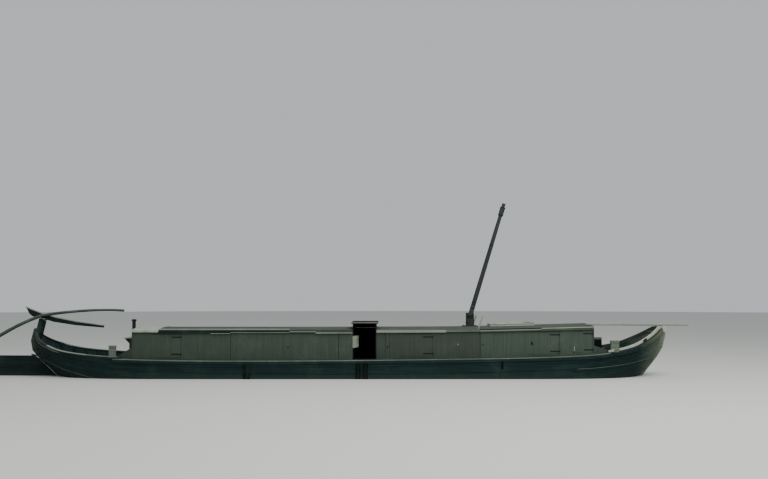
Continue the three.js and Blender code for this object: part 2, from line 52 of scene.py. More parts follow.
# Adds one node with its settings, values and links, and gives back one of its outputs. A Mix node of
# colours takes its factor and colours at inputs 0, 6 and 7 and gives output 2.
def addNode(tree, kind, output, inputs, **settings):
    node = tree.nodes.new("ShaderNode" + kind)
    for name, value in settings.items():
        setattr(node, name, value)
    for key, value in inputs.items():
        if isinstance(value, bpy.types.NodeSocket):
            tree.links.new(value, node.inputs[key])
        else:
            node.inputs[key].default_value = value
    return node.outputs[output]


def startMaterial(name, roughness):
    material = bpy.data.materials.new(name)
    material.use_nodes = True
    tree = material.node_tree
    tree.nodes["Principled BSDF"].inputs["Roughness"].default_value = roughness
    return material, tree, addNode(tree, "TexCoord", "Object", {})


def finishMaterial(material, colour, height, strength, distance, **constants):
    tree = material.node_tree
    shader = tree.nodes["Principled BSDF"]
    relief = addNode(tree, "Bump", "Normal", {"Height": height, "Strength": strength, "Distance": distance})
    tree.links.new(colour, shader.inputs["Base Color"])
    tree.links.new(relief, shader.inputs["Normal"])
    for socket, value in constants.items():
        shader.inputs[socket.replace("_", " ")].default_value = value
    return material


# Timber by how it was treated. Its colours are the dark and the worn fibre, and what shows in patches as far
# as wear says. grain is the size of the figure along x, y and z in metres, long with the wood and fine
# across it. rain is how dark the streaks of rain are, paleEnds how much paler the hull's ends are drawn:
# tar rubbed bare, and painted highlight where the ends are lit.
usualTimber = dict(wear=0.4, rain=0.0, roughness=0.8, bump=0.25, gloss=0.4, waterline=False, paleEnds=0.0)
finishes = dict(
    # coal tar over oak: near black with a cast of blue-green, dull, going grey where it is rubbed
    tarredOak=dict(colours=("#0c1e1d", "#152e2c", "#2d443e"), grain=(1.6, 0.05, 0.05), rain=0.25,
                   roughness=0.75, bump=0.3, gloss=0.15, waterline=True, paleEnds=0.85),
    # the same tar over elm, a little darker and flatter
    tarredElm=dict(colours=("#0b1918", "#132624", "#293d36"), grain=(1.2, 0.05, 0.05), rain=0.2,
                   roughness=0.78, bump=0.3, gloss=0.15, waterline=True),
    # bare oak left to the weather: grey-green and rough
    weatheredOak=dict(colours=("#4a5348", "#616a5c", "#7f8676"), grain=(1.2, 0.04, 0.04), wear=0.5,
                      rain=0.15, roughness=0.85, bump=0.3),
    # old oak, darkened by hands and wet
    agedOak=dict(colours=("#1d2620", "#2c352d", "#454d42"), grain=(1.2, 0.04, 0.04), wear=0.5, rain=0.15,
                 roughness=0.82, bump=0.3),
    # ash scraped clean: pale and smooth
    scrapedAsh=dict(colours=("#70776a", "#899080", "#a2a797"), grain=(0.9, 0.03, 0.03), rain=0.05,
                    bump=0.15),
    # limewash brushed on lately: the palest timber, with the wood showing where it ran thin
    freshLimeWash=dict(colours=("#979a8b", "#b1b3a3", "#6f7466"), grain=(1.0, 0.05, 0.05), wear=0.45,
                       rain=0.1, bump=0.2),
    # oak rubbed with lime: chalky, with grey patches
    limeWhitedOak=dict(colours=("#8f9486", "#aaae9e", "#727869"), grain=(1.0, 0.05, 0.05), rain=0.1,
                       bump=0.2),
    # pine decks scrubbed with sand: dull, long in the grain, and kept dark partly as painted shade along the
    # walls' foot
    scrubbedDeckPine=dict(colours=("#343b35", "#444b44", "#5a6057"), grain=(1.4, 0.03, 0.03), wear=0.5,
                          roughness=0.88),
    # sawn pine under green oil paint, brushed upright: an even colour with a faint sheen
    oilPaintedPine=dict(colours=("#29352b", "#313d32", "#424f42"), grain=(0.05, 0.05, 0.9), wear=0.45,
                        rain=0.2, roughness=0.68, bump=0.15),
    # pine boards payed with pitch that has worn thin: grey-green, darker in the grain
    pitchedRoofPine=dict(colours=("#2f372f", "#3d453c", "#555c50"), grain=(1.8, 0.05, 0.05), wear=0.5),
    # poplar under thick pitch: black and flat
    pitchBlackPoplar=dict(colours=("#070b0a", "#101614", "#1c2421"), grain=(0.05, 0.05, 0.7), wear=0.3,
                          gloss=0.1),
    # a pine spar planed round and oiled: dark, smooth, grain along it
    oiledSparPine=dict(colours=("#141c1a", "#212a27", "#3a433d"), grain=(0.04, 0.04, 0.9), wear=0.35,
                       roughness=0.6, bump=0.15),
)
# What weather and water do to all timber: colours, the heights between which the hull is damp, and how far
# from amidships the hull's ends turn paler: tar rubbed off, and painted highlight.
weather = dict(rain="#141c1a", damp="#232f29", bare="#606a59", dampFrom=0.72, dampBelow=0.5,
               paleEndsFrom=10.5, paleEndsTo=11.7, middle=-0.4)


# Painted, tarred or bare timber: fibre along the grain, worn patches, rain streaks and the damp near the
# water. boards is for meshes of separate boards, whose boardTone makes each a little lighter or darker.
def woodMaterial(name, look, boards=False):
    look = {**usualTimber, **look}
    material, tree, place = startMaterial(name + ("Boards" if boards else ""), look["roughness"])
    fine = addNode(tree, "Mapping", 0, {"Vector": place, "Scale": [1 / size for size in look["grain"]]})
    grain = addNode(tree, "TexNoise", "Fac", {"Vector": fine, "Scale": 1.0, "Detail": 6.0})
    colour = addNode(tree, "ValToRGB", "Color", {"Fac": grain})
    for stop, position, shade in zip(colour.node.color_ramp.elements, (0.35, 0.7), look["colours"]):
        stop.position = position
        stop.color = toLinear(shade)
    blotch = addNode(tree, "TexNoise", "Fac",
                     {"Vector": place, "Scale": 1.3, "Detail": 5.0, "Roughness": 0.65})
    # what shows in patches over the fibre: from where to where of which pattern, how much, and its colour
    layers = [(blotch, 0.5, 0.75, look["wear"], look["colours"][2])]
    if look["rain"]:
        down = addNode(tree, "Mapping", 0, {"Vector": place, "Scale": (7.0, 7.0, 0.6)})
        streak = addNode(tree, "TexNoise", "Fac", {"Vector": down, "Scale": 1.0, "Detail": 3.0})
        layers.append((streak, 0.5, 0.8, look["rain"], weather["rain"]))
    if look["waterline"]:
        height = addNode(tree, "SeparateXYZ", "Z", {"Vector": place})
        ragged = addNode(tree, "Math", 0, {0: blotch, 1: 0.25}, operation="MULTIPLY")
        level = addNode(tree, "Math", 0, {0: height, 1: ragged}, operation="SUBTRACT")
        layers.append((level, weather["dampFrom"], weather["dampBelow"], 0.7, weather["damp"]))
    if look["paleEnds"]:
        # towards the two ends, most at the bow, the timber turns paler: tar rubbed off by ropes and banks,
        # and painted highlight
        length = addNode(tree, "SeparateXYZ", "X", {"Vector": place})
        shifted = addNode(tree, "Math", 0, {0: length, 1: -weather["middle"]}, operation="ADD")
        reach = addNode(tree, "Math", 0, {0: shifted}, operation="ABSOLUTE")
        endRagged = addNode(tree, "Math", 0, {0: grain, 1: 0.6}, operation="MULTIPLY")
        far = addNode(tree, "Math", 0, {0: reach, 1: endRagged}, operation="ADD")
        layers.append((far, weather["paleEndsFrom"], weather["paleEndsTo"], look["paleEnds"], weather["bare"]))
    for value, low, high, most, shade in layers:
        share = addNode(tree, "MapRange", 0,
                        {"Value": value, "From Min": low, "From Max": high, "To Max": most})
        colour = addNode(tree, "Mix", 2, {0: share, 6: colour, 7: toLinear(shade)}, data_type="RGBA")
    if boards:
        tone = addNode(tree, "Attribute", "Color", {}, attribute_name="boardTone")
        colour = addNode(tree, "Mix", 2, {0: 1.0, 6: colour, 7: tone}, data_type="RGBA",
                         blend_type="MULTIPLY")
    return finishMaterial(material, colour, grain, look["bump"], 0.004, Specular_IOR_Level=look["gloss"])


# Iron forged and blackened: dull black, with rust in spots.
def ironMaterial(name, base, rust, roughness):
    material, tree, place = startMaterial(name, roughness)
    spots = addNode(tree, "TexNoise", "Fac",
                    {"Vector": place, "Scale": 22.0, "Detail": 8.0, "Roughness": 0.7})
    share = addNode(tree, "MapRange", 0, {"Value": spots, "From Min": 0.45, "From Max": 0.65})
    colour = addNode(tree, "Mix", 2, {0: share, 6: toLinear(base), 7: toLinear(rust)}, data_type="RGBA")
    return finishMaterial(material, colour, spots, 0.3, 0.002, Metallic=0.6)


# Heavy flax canvas, limewashed: cloudy wash, stains, a plain weave and a little sheen. Its threads are
# drawn this many metres apart, wider than real ones, so that the weave shows.
def canvasMaterial(name, base, worn, stain, thread):
    material, tree, place = startMaterial(name, 0.92)
    colour = toLinear(base)
    for scale, detail, rough, low, high, most, shade in (
            (3.5, 7.0, 0.6, 0.35, 0.65, 1.0, worn), (1.1, 5.0, 0.7, 0.5, 0.7, 0.45, stain)):
        cloud = addNode(tree, "TexNoise", "Fac",
                        {"Vector": place, "Scale": scale, "Detail": detail, "Roughness": rough})
        share = addNode(tree, "MapRange", 0,
                        {"Value": cloud, "From Min": low, "From Max": high, "To Max": most})
        colour = addNode(tree, "Mix", 2, {0: share, 6: colour, 7: toLinear(shade)}, data_type="RGBA")
    warp, weft = [addNode(tree, "TexWave", "Fac", {"Vector": place, "Scale": 0.3 / thread},
                          bands_direction=axis) for axis in "XY"]
    weave = addNode(tree, "Math", 0, {0: warp, 1: weft}, operation="MAXIMUM")
    return finishMaterial(material, colour, weave, 0.25, 0.0006, Sheen_Weight=0.12)


solid = {name: woodMaterial(name, look) for name, look in finishes.items()}
materials = {name: woodMaterial(name, look, True) for name, look in finishes.items()}
materials["limeWashedCanvas"] = canvasMaterial("limeWashedCanvas", "#858a7c", "#a2a697", "#6b7164", 0.0022)
materials["forgedIron"] = ironMaterial("forgedIron", "#171d1b", "#24241e", 0.6)
# the slot that a finish belongs to, unless a piece says another
usualSlots = dict(
    tarredOak="tarred_planking", tarredElm="tarred_planking", weatheredOak="weathered_timber",
    agedOak="dark_timber", scrapedAsh="weathered_timber", freshLimeWash="white_paint",
    limeWhitedOak="white_paint", scrubbedDeckPine="deck_boards", oilPaintedPine="house_paint",
    pitchedRoofPine="roof_boards", pitchBlackPoplar="dark_timber", limeWashedCanvas="white_paint",
    forgedIron="stove_iron")
print("finishes ready:", len(bpy.data.materials))

# Lines of the hull

# Hull lines, stern to bow, in metres: x, half breadth and height of the rail, the same of the chine,
# then x and half breadth of the flat bottom's edge.
hullLines = [
    (-10.86, 0.09, 2.05, -10.64, 0.09, 1.19, -9.39, 0.09),
    (-10.7, 0.4, 1.86, -10.43, 0.33, 1.15, -9.25, 0.3),
    (-10.33, 0.75, 1.655, -10.07, 0.64, 1.05, -9.0, 0.54),
    (-9.65, 1.11, 1.45, -9.45, 0.96, 0.85, -8.55, 0.84),
    (-8.6, 1.37, 1.32, -8.4, 1.23, 0.6, -7.7, 1.11),
    (-7.3, 1.47, 1.25, -7.1, 1.38, 0.44, -6.7, 1.28),
    (-5.0, 1.5, 1.205, -4.9, 1.45, 0.3, -4.8, 1.38),
    (-1.5, 1.5, 1.205, -1.5, 1.46, 0.25, -1.5, 1.4),
    (2.5, 1.5, 1.245, 2.5, 1.46, 0.25, 2.5, 1.4),
    (6.0, 1.49, 1.305, 5.9, 1.44, 0.31, 5.7, 1.37),
    (8.0, 1.43, 1.38, 7.75, 1.34, 0.48, 7.2, 1.26),
    (9.0, 1.3, 1.485, 8.8, 1.15, 0.7, 8.1, 1.06),
    (9.65, 1.09, 1.61, 9.5, 0.93, 0.89, 8.75, 0.8),
    (10.24, 0.77, 1.855, 10.05, 0.64, 1.07, 9.2, 0.53),
    (10.62, 0.43, 2.065, 10.4, 0.34, 1.19, 9.37, 0.29),
    (10.88, 0.09, 2.23, 10.58, 0.09, 1.24, 9.48, 0.09),
]
railRows = [Vector(row[0:3]) for row in hullLines]
chineRows = [Vector(row[3:6]) for row in hullLines]
bottomRows = [Vector((row[6], row[7], 0.0)) for row in hullLines]
postHalf = 0.0603  # the planking ends this far from the middle, at the posts


def spread(start, stop, count):
    return [start + (stop - start) * i / count for i in range(count + 1)]


def pairs(items):
    return list(zip(items, items[1:]))


def splitSpan(start, stop, longest):
    return pairs(spread(start, stop, max(1, round((stop - start) / longest))))


def interpolate(rows, key):
    # rows of key and value, by rising key
    for (key0, value0), (key1, value1) in pairs(rows):
        if key <= key1:
            return value0 + (value1 - value0) * (key - key0) / (key1 - key0)
    return rows[-1][1]


def search(measure, target, rounds):
    # the t between 0 and 1 at which a measure that rises with t reaches the target
    low, high = 0.0, 1.0
    for _ in range(rounds):
        middle = (low + high) / 2
        if measure(middle) < target:
            low = middle
        else:
            high = middle
    return low


def along(rows, t):
    # the smooth curve through the rows, with t from 0 at the stern to 1 at the bow
    place = t * (len(rows) - 1)
    i = min(int(place), len(rows) - 2)
    u = place - i
    before = rows[i - 1] if i > 0 else rows[0] * 2 - rows[1]
    after = rows[i + 2] if i + 2 < len(rows) else rows[-1] * 2 - rows[-2]
    slope0 = (rows[i + 1] - before) * 0.5
    slope1 = (after - rows[i]) * 0.5
    gap = rows[i + 1] - rows[i]
    bend, twist = gap * 3 - slope0 * 2 - slope1, slope0 + slope1 - gap * 2
    return rows[i] + slope0 * u + bend * u * u + twist * u ** 3


def outwards(rows, t):
    # level, square to the curve and away from the boat's middle
    step = along(rows, min(t + 0.001, 1)) - along(rows, max(t - 0.001, 0))
    return Vector((-step.y, step.x, 0)).normalized()


def skinPoint(t, s, out=0.0):
    # s runs from 0 at the bottom's edge through 1 at the chine to 2 at the rail
    low, high = (bottomRows, chineRows) if s < 1 else (chineRows, railRows)
    a, b = [along(rows, t) + outwards(rows, t) * out for rows in (low, high)]
    point = a.lerp(b, s if s < 1 else s - 1)
    point.y = max(point.y, postHalf)
    return point


def hullAt(t, z, out=0.0):
    chine, rail = along(chineRows, t).z, along(railRows, t).z
    return skinPoint(t, z / chine if z < chine else 1 + (z - chine) / (rail - chine), out)


def stationOf(rows, x):
    return search(lambda t: along(rows, t).x, x, 30)


def railAt(x):
    return along(railRows, stationOf(railRows, x))


def reachOf(rows, start, stop):
    return (along(rows, stop) - along(rows, start)).length


# Helpers that make boards, rods and pieces


def startBoards():
    bm = bmesh.new()
    bm.verts.layers.float_color.new("boardTone")
    return bm


def easeEdges(part, edges, offset, segments=1):
    bmesh.ops.bevel(part, geom=edges, offset=offset, affect="EDGES", segments=segments, profile=0.5,
                    material=-1)


def joinInto(bm, part, shade=1.0, place=None):
    # tones a part, moves its points to where place says and adds it to the others
    layer = part.verts.layers.float_color["boardTone"]
    for vert in part.verts:
        tone = shade(vert.co) if callable(shade) else shade
        vert[layer] = (tone, tone, tone, 1.0)
        if place:
            vert.co = place(vert.co)
    mesh = bpy.data.meshes.new("part")
    part.to_mesh(mesh)
    part.free()
    bm.from_mesh(mesh)
    bpy.data.meshes.remove(mesh)


def cutsIn(length, step):
    # how many cuts a board of this length needs to follow a curve
    return int(length / step) + 2


# One board of the given box, its edges eased. It is cut across its length so that bend can curve it.
def addBoard(bm, low, high, ease=0.004, cuts=0, bend=None, tone=0.06, axis=0, shade=1.0):
    part = startBoards()
    low, high = Vector(low), Vector(high)
    size = high - low
    bmesh.ops.create_cube(part, size=1.0)
    bmesh.ops.scale(part, vec=size, verts=part.verts[:])
    bmesh.ops.translate(part, vec=(low + high) / 2, verts=part.verts[:])
    easeEdges(part, part.edges[:], min(ease, min(size) * 0.3))
    if cuts:
        ends = [(e, [vert.co[axis] for vert in e.verts]) for e in part.edges]
        long = [e for e, (a, b) in ends if abs(a - b) > size[axis] * 0.5]
        bmesh.ops.subdivide_edges(part, edges=long, cuts=cuts, use_grid_fill=True)
    joinInto(bm, part, shade * (1.0 + dice.uniform(-tone, tone)), bend)


def addPlate(bm, low, high, ease=0.004, place=None):
    # a forged plate
    addBoard(bm, low, high, ease, 0, place, 0.0)


def addProfile(bm, points, y0, y1, ease=0.008, place=None, tone=0.03):
    # a timber sawn to a profile: points are x and z, y0 and y1 its two faces
    part = startBoards()
    face = part.faces.new([part.verts.new((x, y0, z)) for x, z in points])
    result = bmesh.ops.extrude_face_region(part, geom=[face])
    moved = [item for item in result["geom"] if isinstance(item, bmesh.types.BMVert)]
    bmesh.ops.translate(part, verts=moved, vec=(0, y1 - y0, 0))
    bmesh.ops.recalc_face_normals(part, faces=part.faces[:])
    rims = [e for e in part.edges if abs(e.verts[0].co.y - e.verts[1].co.y) < 1e-6]
    easeEdges(part, rims, ease, 2)
    joinInto(bm, part, 1.0 + dice.uniform(-tone, tone), place)


def addRod(bm, start, end, radius, place=None, segments=12):
    start, end = Vector(start), Vector(end)
    part = startBoards()
    bmesh.ops.create_cone(part, cap_ends=True, segments=segments, radius1=radius, radius2=radius,
                          depth=(end - start).length)
    turn = (end - start).to_track_quat("Z", "Y").to_matrix().to_4x4()
    bmesh.ops.transform(part, matrix=Matrix.Translation((start + end) / 2) @ turn, verts=part.verts[:])
    joinInto(bm, part, place=place)


def addRing(bm, centre, radius, thick, place=None, flat=False):
    # a forged ring, spun from a small circle. It faces along y, or along z where flat.
    part = startBoards()
    upright = Matrix.Rotation(math.pi / 2, 3, "X")
    bmesh.ops.create_circle(part, segments=8, radius=thick)
    bmesh.ops.rotate(part, verts=part.verts[:], cent=(0, 0, 0), matrix=upright)
    bmesh.ops.translate(part, verts=part.verts[:], vec=(radius, 0, 0))
    bmesh.ops.spin(part, geom=part.verts[:] + part.edges[:], cent=(0, 0, 0), axis=(0, 0, 1),
                   angle=2 * math.pi, steps=20, use_merge=True)
    if not flat:
        bmesh.ops.rotate(part, verts=part.verts[:], cent=(0, 0, 0), matrix=upright)
    for vert in part.verts:
        vert.co += Vector(centre)
    joinInto(bm, part, place=place)


def finishPiece(name, bm, finish, body="hull", slotName=None, replaces=(), smooth=False):
    bmesh.ops.recalc_face_normals(bm, faces=bm.faces[:])
    mesh = bpy.data.meshes.new(name)
    bm.to_mesh(mesh)
    bm.free()
    if smooth:
        mesh.shade_smooth()
    mesh.materials.append(materials[finish])
    piece = bpy.data.objects.new(name, mesh)
    bpy.context.scene.collection.objects.link(piece)
    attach(piece, body)
    slotName or usualSlots[finish]
    if replaces:
        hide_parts(*replaces)
    return piece


def layBothSides(seed, pieces, lay):
    # lays the boards of some pieces on the port side, and the same once more, turned over to starboard.
    # pieces says the finish of each and, without the side, which CAD nodes it replaces.
    for side, name in sideNames.items():
        dice.seed(seed)
        bms = {stem: startBoards() for stem in pieces}
        lay(bms)
        for stem, settings in pieces.items():
            if side < 0:
                bmesh.ops.scale(bms[stem], vec=(1, -1, 1), verts=bms[stem].verts[:])
                bmesh.ops.reverse_faces(bms[stem], faces=bms[stem].faces[:])
            nodes = [node + "_" + name for node in settings.get("replaces", ())]
            finishPiece(stem + "_" + name, bms[stem], **{**settings, "replaces": nodes})


def sideSpan(side, inner, outer):
    # from and to y of something between two distances from the middle
    return sorted((side * inner, side * outer))


# Hull planking, rails, gunwales and bulwarks

hullLook = dict(
    inner=-0.012, proud=0.014,               # the planks' faces, counted outwards from the CAD hull
    seam=0.007,                              # caulked gap between two planks
    topsideEdges=(1.0, 1.27, 1.53, 1.78, 2.0),  # plank edges from the chine (1) to the rail (2)
    bottomEdges=(0.04, 0.5, 1.0),            # and from the bottom (0) to the chine
    butts=((0.16, 0.37, 0.58, 0.8), (0.26, 0.47, 0.69, 0.88), (0.11, 0.32, 0.53, 0.75)),
    stopShort=0.004, buttGap=0.0001,         # both as shares of the hull's length
    wale=0.008,                              # extra thickness of the top plank
)


def addPlank(bm, fromT, toT, fromS, toS, inner, outer):
    # a plank that follows the skin, drawn flat at about its real size and then bent to the hull
    length = reachOf(chineRows, fromT, toT)
    middle = (fromT + toT) / 2
    width = (skinPoint(middle, toS) - skinPoint(middle, fromS)).length

    def bend(co):
        t = fromT + (toT - fromT) * co.x / length
        return skinPoint(t, fromS + (toS - fromS) * co.z / width, co.y)

    addBoard(bm, (0, inner, 0), (length, outer, width), 0.006, cutsIn(length, 0.22), bend, 0.12)


def makeHullPlanks(look):
    courses = pairs(look["bottomEdges"]) + pairs(look["topsideEdges"])
    seam, gap = look["seam"] / 2, look["buttGap"]

    def lay(bms):
        for count, (low, high) in enumerate(courses):
            stops = [look["stopShort"], *look["butts"][count % 3], 1 - look["stopShort"]]
            proud = look["proud"] + (look["wale"] if high == 2.0 else 0)
            for start, stop in pairs(stops):
                addPlank(bms["hull_planks"], start + gap, stop - gap, low + seam, high - seam, look["inner"],
                         proud)

    layBothSides(11, {"hull_planks": dict(finish="tarredOak")}, lay)
    print("hull planks laid")


def addRailStrip(bm, fromX, toX, inner, outer, low, high, longest=3.6, tone=0.12, ease=0.008, lift=None):
    # timbers laid along the rail line. inner and outer count outwards from it, low and high upwards.
    first, last = stationOf(railRows, fromX), stationOf(railRows, toX)
    for start, stop in pairs(spread(first, last, max(1, round((toX - fromX) / longest)))):
        length = reachOf(railRows, start, stop)

        def bend(co):
            t = start + (stop - start) * co.x / length
            point = along(railRows, t) + outwards(railRows, t) * co.y
            point.z += lift((t - first) / (last - first), point.z, co.z) if lift else co.z
            point.y = max(point.y, postHalf)
            return point

        addBoard(bm, (0.002, inner, low), (length - 0.002, outer, high), ease, cutsIn(length, 0.16), bend,
                 tone)


# The bitts, the pad under the stern one and the black lining of the bow one: x and y of two corners, height.
railLook = dict(rail=(-7.8, 10.6), paleTo=8.76, gunwale=(-10.85, -7.64), palerFrom=-10.2, palerTo=-8.7,
                bulwark=(8.7, 10.86), bulwarkRise=(0.095, 0.125), whitenedFrom=0.45, stemHead=2.316,
                cap=0.025,
                sternBitt=((-7.93, 1.345), (-7.69, 1.475), 0.44), pad=((-7.98, 1.3), (-7.52, 1.5), 0.045),
                bowBitt=((8.79, 1.19), (9.08, 1.33), 0.4), lining=((8.8, 1.184), (9.07, 1.192), 0.31))
railPieces = dict(
    rail_timbers=dict(finish="weatheredOak", replaces=["rail"]),
    rubbing_band=dict(finish="tarredOak"),
    stern_gunwale_under=dict(finish="tarredOak"),
    stern_gunwale_head=dict(finish="agedOak"),
    stern_gunwale_pale=dict(finish="scrapedAsh"),
    stern_gunwale_timbers=dict(finish="weatheredOak", replaces=["stern_gunwale"]),
    bow_bulwark_lining=dict(finish="agedOak"),
    bow_bitt=dict(finish="weatheredOak"),
    bow_bitt_lining=dict(finish="pitchBlackPoplar"),
    bow_bulwark_timbers=dict(finish="freshLimeWash", replaces=["bow_bulwark"]),
)


def makeRails(look):
    aft, fore = look["rail"]
    tail, head = look["gunwale"]
    palerFrom, palerTo = look["palerFrom"], look["palerTo"]
    bulwark, drawn = look["bulwark"], 0.07  # the bulwark's boards are drawn this tall and then stretched

    def height(u, railZ):
        start, more = look["bulwarkRise"]
        return min(start + more * u, look["stemHead"] - railZ)

    def board(u, railZ, z):
        return z / drawn * (height(u, railZ) - look["cap"])

    def capping(u, railZ, z):
        return z + height(u, railZ) - look["cap"]

    paint = drawn * look["whitenedFrom"]
    # piece, from x, to x, inner and outer face, underside, top, longest timber, tone, ease, lift
    sternStrips = [
        ("rail_timbers", aft, look["paleTo"], -0.056, 0.044, -0.036, 0.006, 2.9),
        ("rubbing_band", look["paleTo"], fore, -0.05, 0.044, -0.036, 0.0, 1.9),
        ("rubbing_band", aft, bulwark[1], -0.01, 0.05, -0.118, -0.014),
        ("stern_gunwale_under", tail, head, -0.06, 0.018, -0.004, 0.046, 2.0),
        ("stern_gunwale_head", tail, palerFrom, -0.078, 0.025, 0.05, 0.082, 1.6),
        # the pale strips on the gunwale's top and at its foot are partly painted highlight of its lit edges,
        # over a tarred face
        ("stern_gunwale_pale", palerFrom, palerTo, -0.078, 0.025, 0.05, 0.082, 1.6),
        ("stern_gunwale_pale", tail, -9.7, 0.0, 0.024, -0.01, 0.002, 1.2, 0.05, 0.003),
        ("stern_gunwale_timbers", palerTo, head, -0.078, 0.025, 0.05, 0.082, 1.6),
    ]
    bowStrips = [
        ("bow_bulwark_lining", *bulwark, -0.045, -0.016, -0.01, 0.069, 1.2, 0.05, 0.008, board),
        ("bow_bulwark_lining", *bulwark, -0.016, 0.001, -0.002, paint, 1.2, 0.05, 0.008, board),
        ("bow_bulwark_lining", *bulwark, -0.01, 0.005, -0.002, 0.02, 2.4, 0.05),
        ("bow_bulwark_timbers", *bulwark, -0.016, 0.001, paint, drawn, 1.2, 0.05, 0.008, board),
        ("bow_bulwark_timbers", *bulwark, -0.052, 0.005, 0.0, look["cap"], 2.4, 0.05, 0.008, capping),
    ]

    def lay(bms):
        for piece, *strip in sternStrips:
            addRailStrip(bms[piece], *strip)
        z = railAt(-7.81).z
        addBitt(bms["stern_gunwale_timbers"], *look["sternBitt"], z)
        low, high, tall = look["pad"]
        addBoard(bms["stern_gunwale_under"], (*low, z), (*high, z + tall), 0.008, tone=0.05)
        for piece, *strip in bowStrips:
            addRailStrip(bms[piece], *strip)
        z = railAt(8.9).z
        addBitt(bms["bow_bitt"], *look["bowBitt"], z)
        low, high, tall = look["lining"]
        addBoard(bms["bow_bitt_lining"], (*low, z), (*high, z + tall), 0.002, tone=0.02)

    layBothSides(23, railPieces, lay)
    print("rails, gunwales and bulwarks laid")


def addBitt(bm, low, high, tall, fromZ):
    # a squat mooring post: shank, collar and a cap with a flat top
    (x0, y0), (x1, y1), toZ = low, high, fromZ + tall
    cap = toZ - 0.09
    for alongX, acrossY, z0, z1, ease in ((0.008, 0.008, fromZ, cap, 0.01), (0, 0, cap, toZ, 0.014),
                                          (0.005, 0.003, cap - 0.13, cap - 0.09, 0.008)):
        addBoard(bm, (x0 + alongX, y0 + acrossY, z0), (x1 - alongX, y1 - acrossY, z1), ease, tone=0.03)


beadLook = dict(bow=(7.75, 10.55), stern=(-10.5, -8.3), high=0.5, falls=0.44, drop=0.032)


def makeBeads(look):
    # thin pale beads, on the upper edge of the bow strake and along the stern's chine; their paleness is
    # partly painted highlight of these lit edges
    def lay(bms):
        bm = bms["scraped_beads"]
        first, last = [stationOf(railRows, x) for x in look["bow"]]
        for start, stop in pairs(spread(first, last, 2)):
            length = reachOf(railRows, start, stop)

            def onStrake(co):
                t = start + (stop - start) * co.x / length
                u = (t - first) / (last - first)
                rail, chine = along(railRows, t), along(chineRows, t)
                share = look["high"] - look["falls"] * u + (look["drop"] + co.z) / (rail.z - chine.z)
                return skinPoint(t, 1 + share, co.y)

            addBoard(bm, (0.002, 0.0, -0.011), (length - 0.002, 0.04, 0.003), 0.003, cutsIn(length, 0.16),
                     onStrake)
        first, last = [stationOf(chineRows, x) for x in look["stern"]]
        length = reachOf(chineRows, first, last)

        def onChine(co):
            return skinPoint(first + (last - first) * co.x / length, 1 + co.z / 0.8, co.y)

        addBoard(bm, (0, 0.0, -0.008), (length, 0.018, 0.012), 0.003, cutsIn(length, 0.16), onChine)

    layBothSides(29, {"scraped_beads": dict(finish="weatheredOak")}, lay)
    print("beads laid")


makeHullPlanks(hullLook)
makeRails(railLook)
makeBeads(beadLook)

# Deckhouse: boarded walls and ends, shutters, doors and the hood over the way through

houseLook = dict(
    half=1.125,                    # half breadth over the walls
    proud=0.006,                   # how far the boards stand out from the CAD walls
    boardWidth=0.26, groove=0.0003,
    # x and width of the pitched joints
    darkJoints=((-0.305, 0.012), (1.27, 0.008), (1.4, 0.008), (1.846, 0.008), (2.237, 0.006),
                (-3.932, 0.006), (4.446, 0.016)),
    joints=(-5.604, -3.932, -2.158, -0.3, 1.828, 2.842, 7.571),
    sections=((-7.243, 0.166), (0.963, 4.446), (4.446, 8.267)),
    shades=(1.2, 0.96, 1.38),      # how much paler the boards of each section are drawn
    wallTops=((-9.0, 2.12), (-1.0, 2.12), (3.0, 2.132), (4.446, 2.15), (6.5, 2.2), (9.5, 2.28)),
    shutters=dict(aft=(-6.62, -5.604), hold=(1.828, 2.842), cabin=(6.085, 7.098), fore=(7.571, 8.222)),
    hinge=0.034,                   # how wide the plain post beside a leaf's knuckles is
    companion=(0.166, 0.963),
    eyes=((-2.0, 1.63), (4.545, 1.72)), latch=(1.335, 1.65), disc=(3.703, 1.727), grip=7.605,
)


def wallTopAt(x):
    return interpolate(houseLook["wallTops"], x)


def sectionShade(x):
    return houseLook["shades"][0 if x < 0.5 else 1 if x < 4.446 else 2]


def shutterHeights(aft, fore):
    middle = (aft + fore) / 2
    return railAt(middle).z + 0.075, wallTopAt(middle) - 0.045


def makeWalls(look):
    leaves = [(aft, fore, *shutterHeights(aft, fore)) for aft, fore in look["shutters"].values()]
    holes = [(aft - 0.004, fore + look["hinge"], low, high) for aft, fore, low, high in leaves]

    def lay(bms):
        boards = bms["house_boards"]
        for start, stop in look["sections"]:
            for x0, x1 in pairs([start, *[x for x in look["joints"] if start < x < stop], stop]):
                count = max(1, round((x1 - x0) / look["boardWidth"]))
                for left, right in pairs(spread(x0 + 0.005, x1 - 0.005, count)):
                    addWallBoard(boards, left + look["groove"], right - look["groove"], look, holes)
        for start, stop in look["sections"]:
            addSkirting(boards, start, stop, look["half"])
        for leaf in leaves:
            addFrame(boards, *leaf, look["half"])
        addWallMarks(look, bms["pitched_joints"], bms["wall_irons"], bms["wall_disc"], leaves)

    pieces = dict(house_boards="oilPaintedPine", wall_disc="weatheredOak", pitched_joints="pitchBlackPoplar",
                  wall_irons="forgedIron")
    layBothSides(31, {name: dict(finish=finish) for name, finish in pieces.items()}, lay)
    print("deckhouse walls boarded")


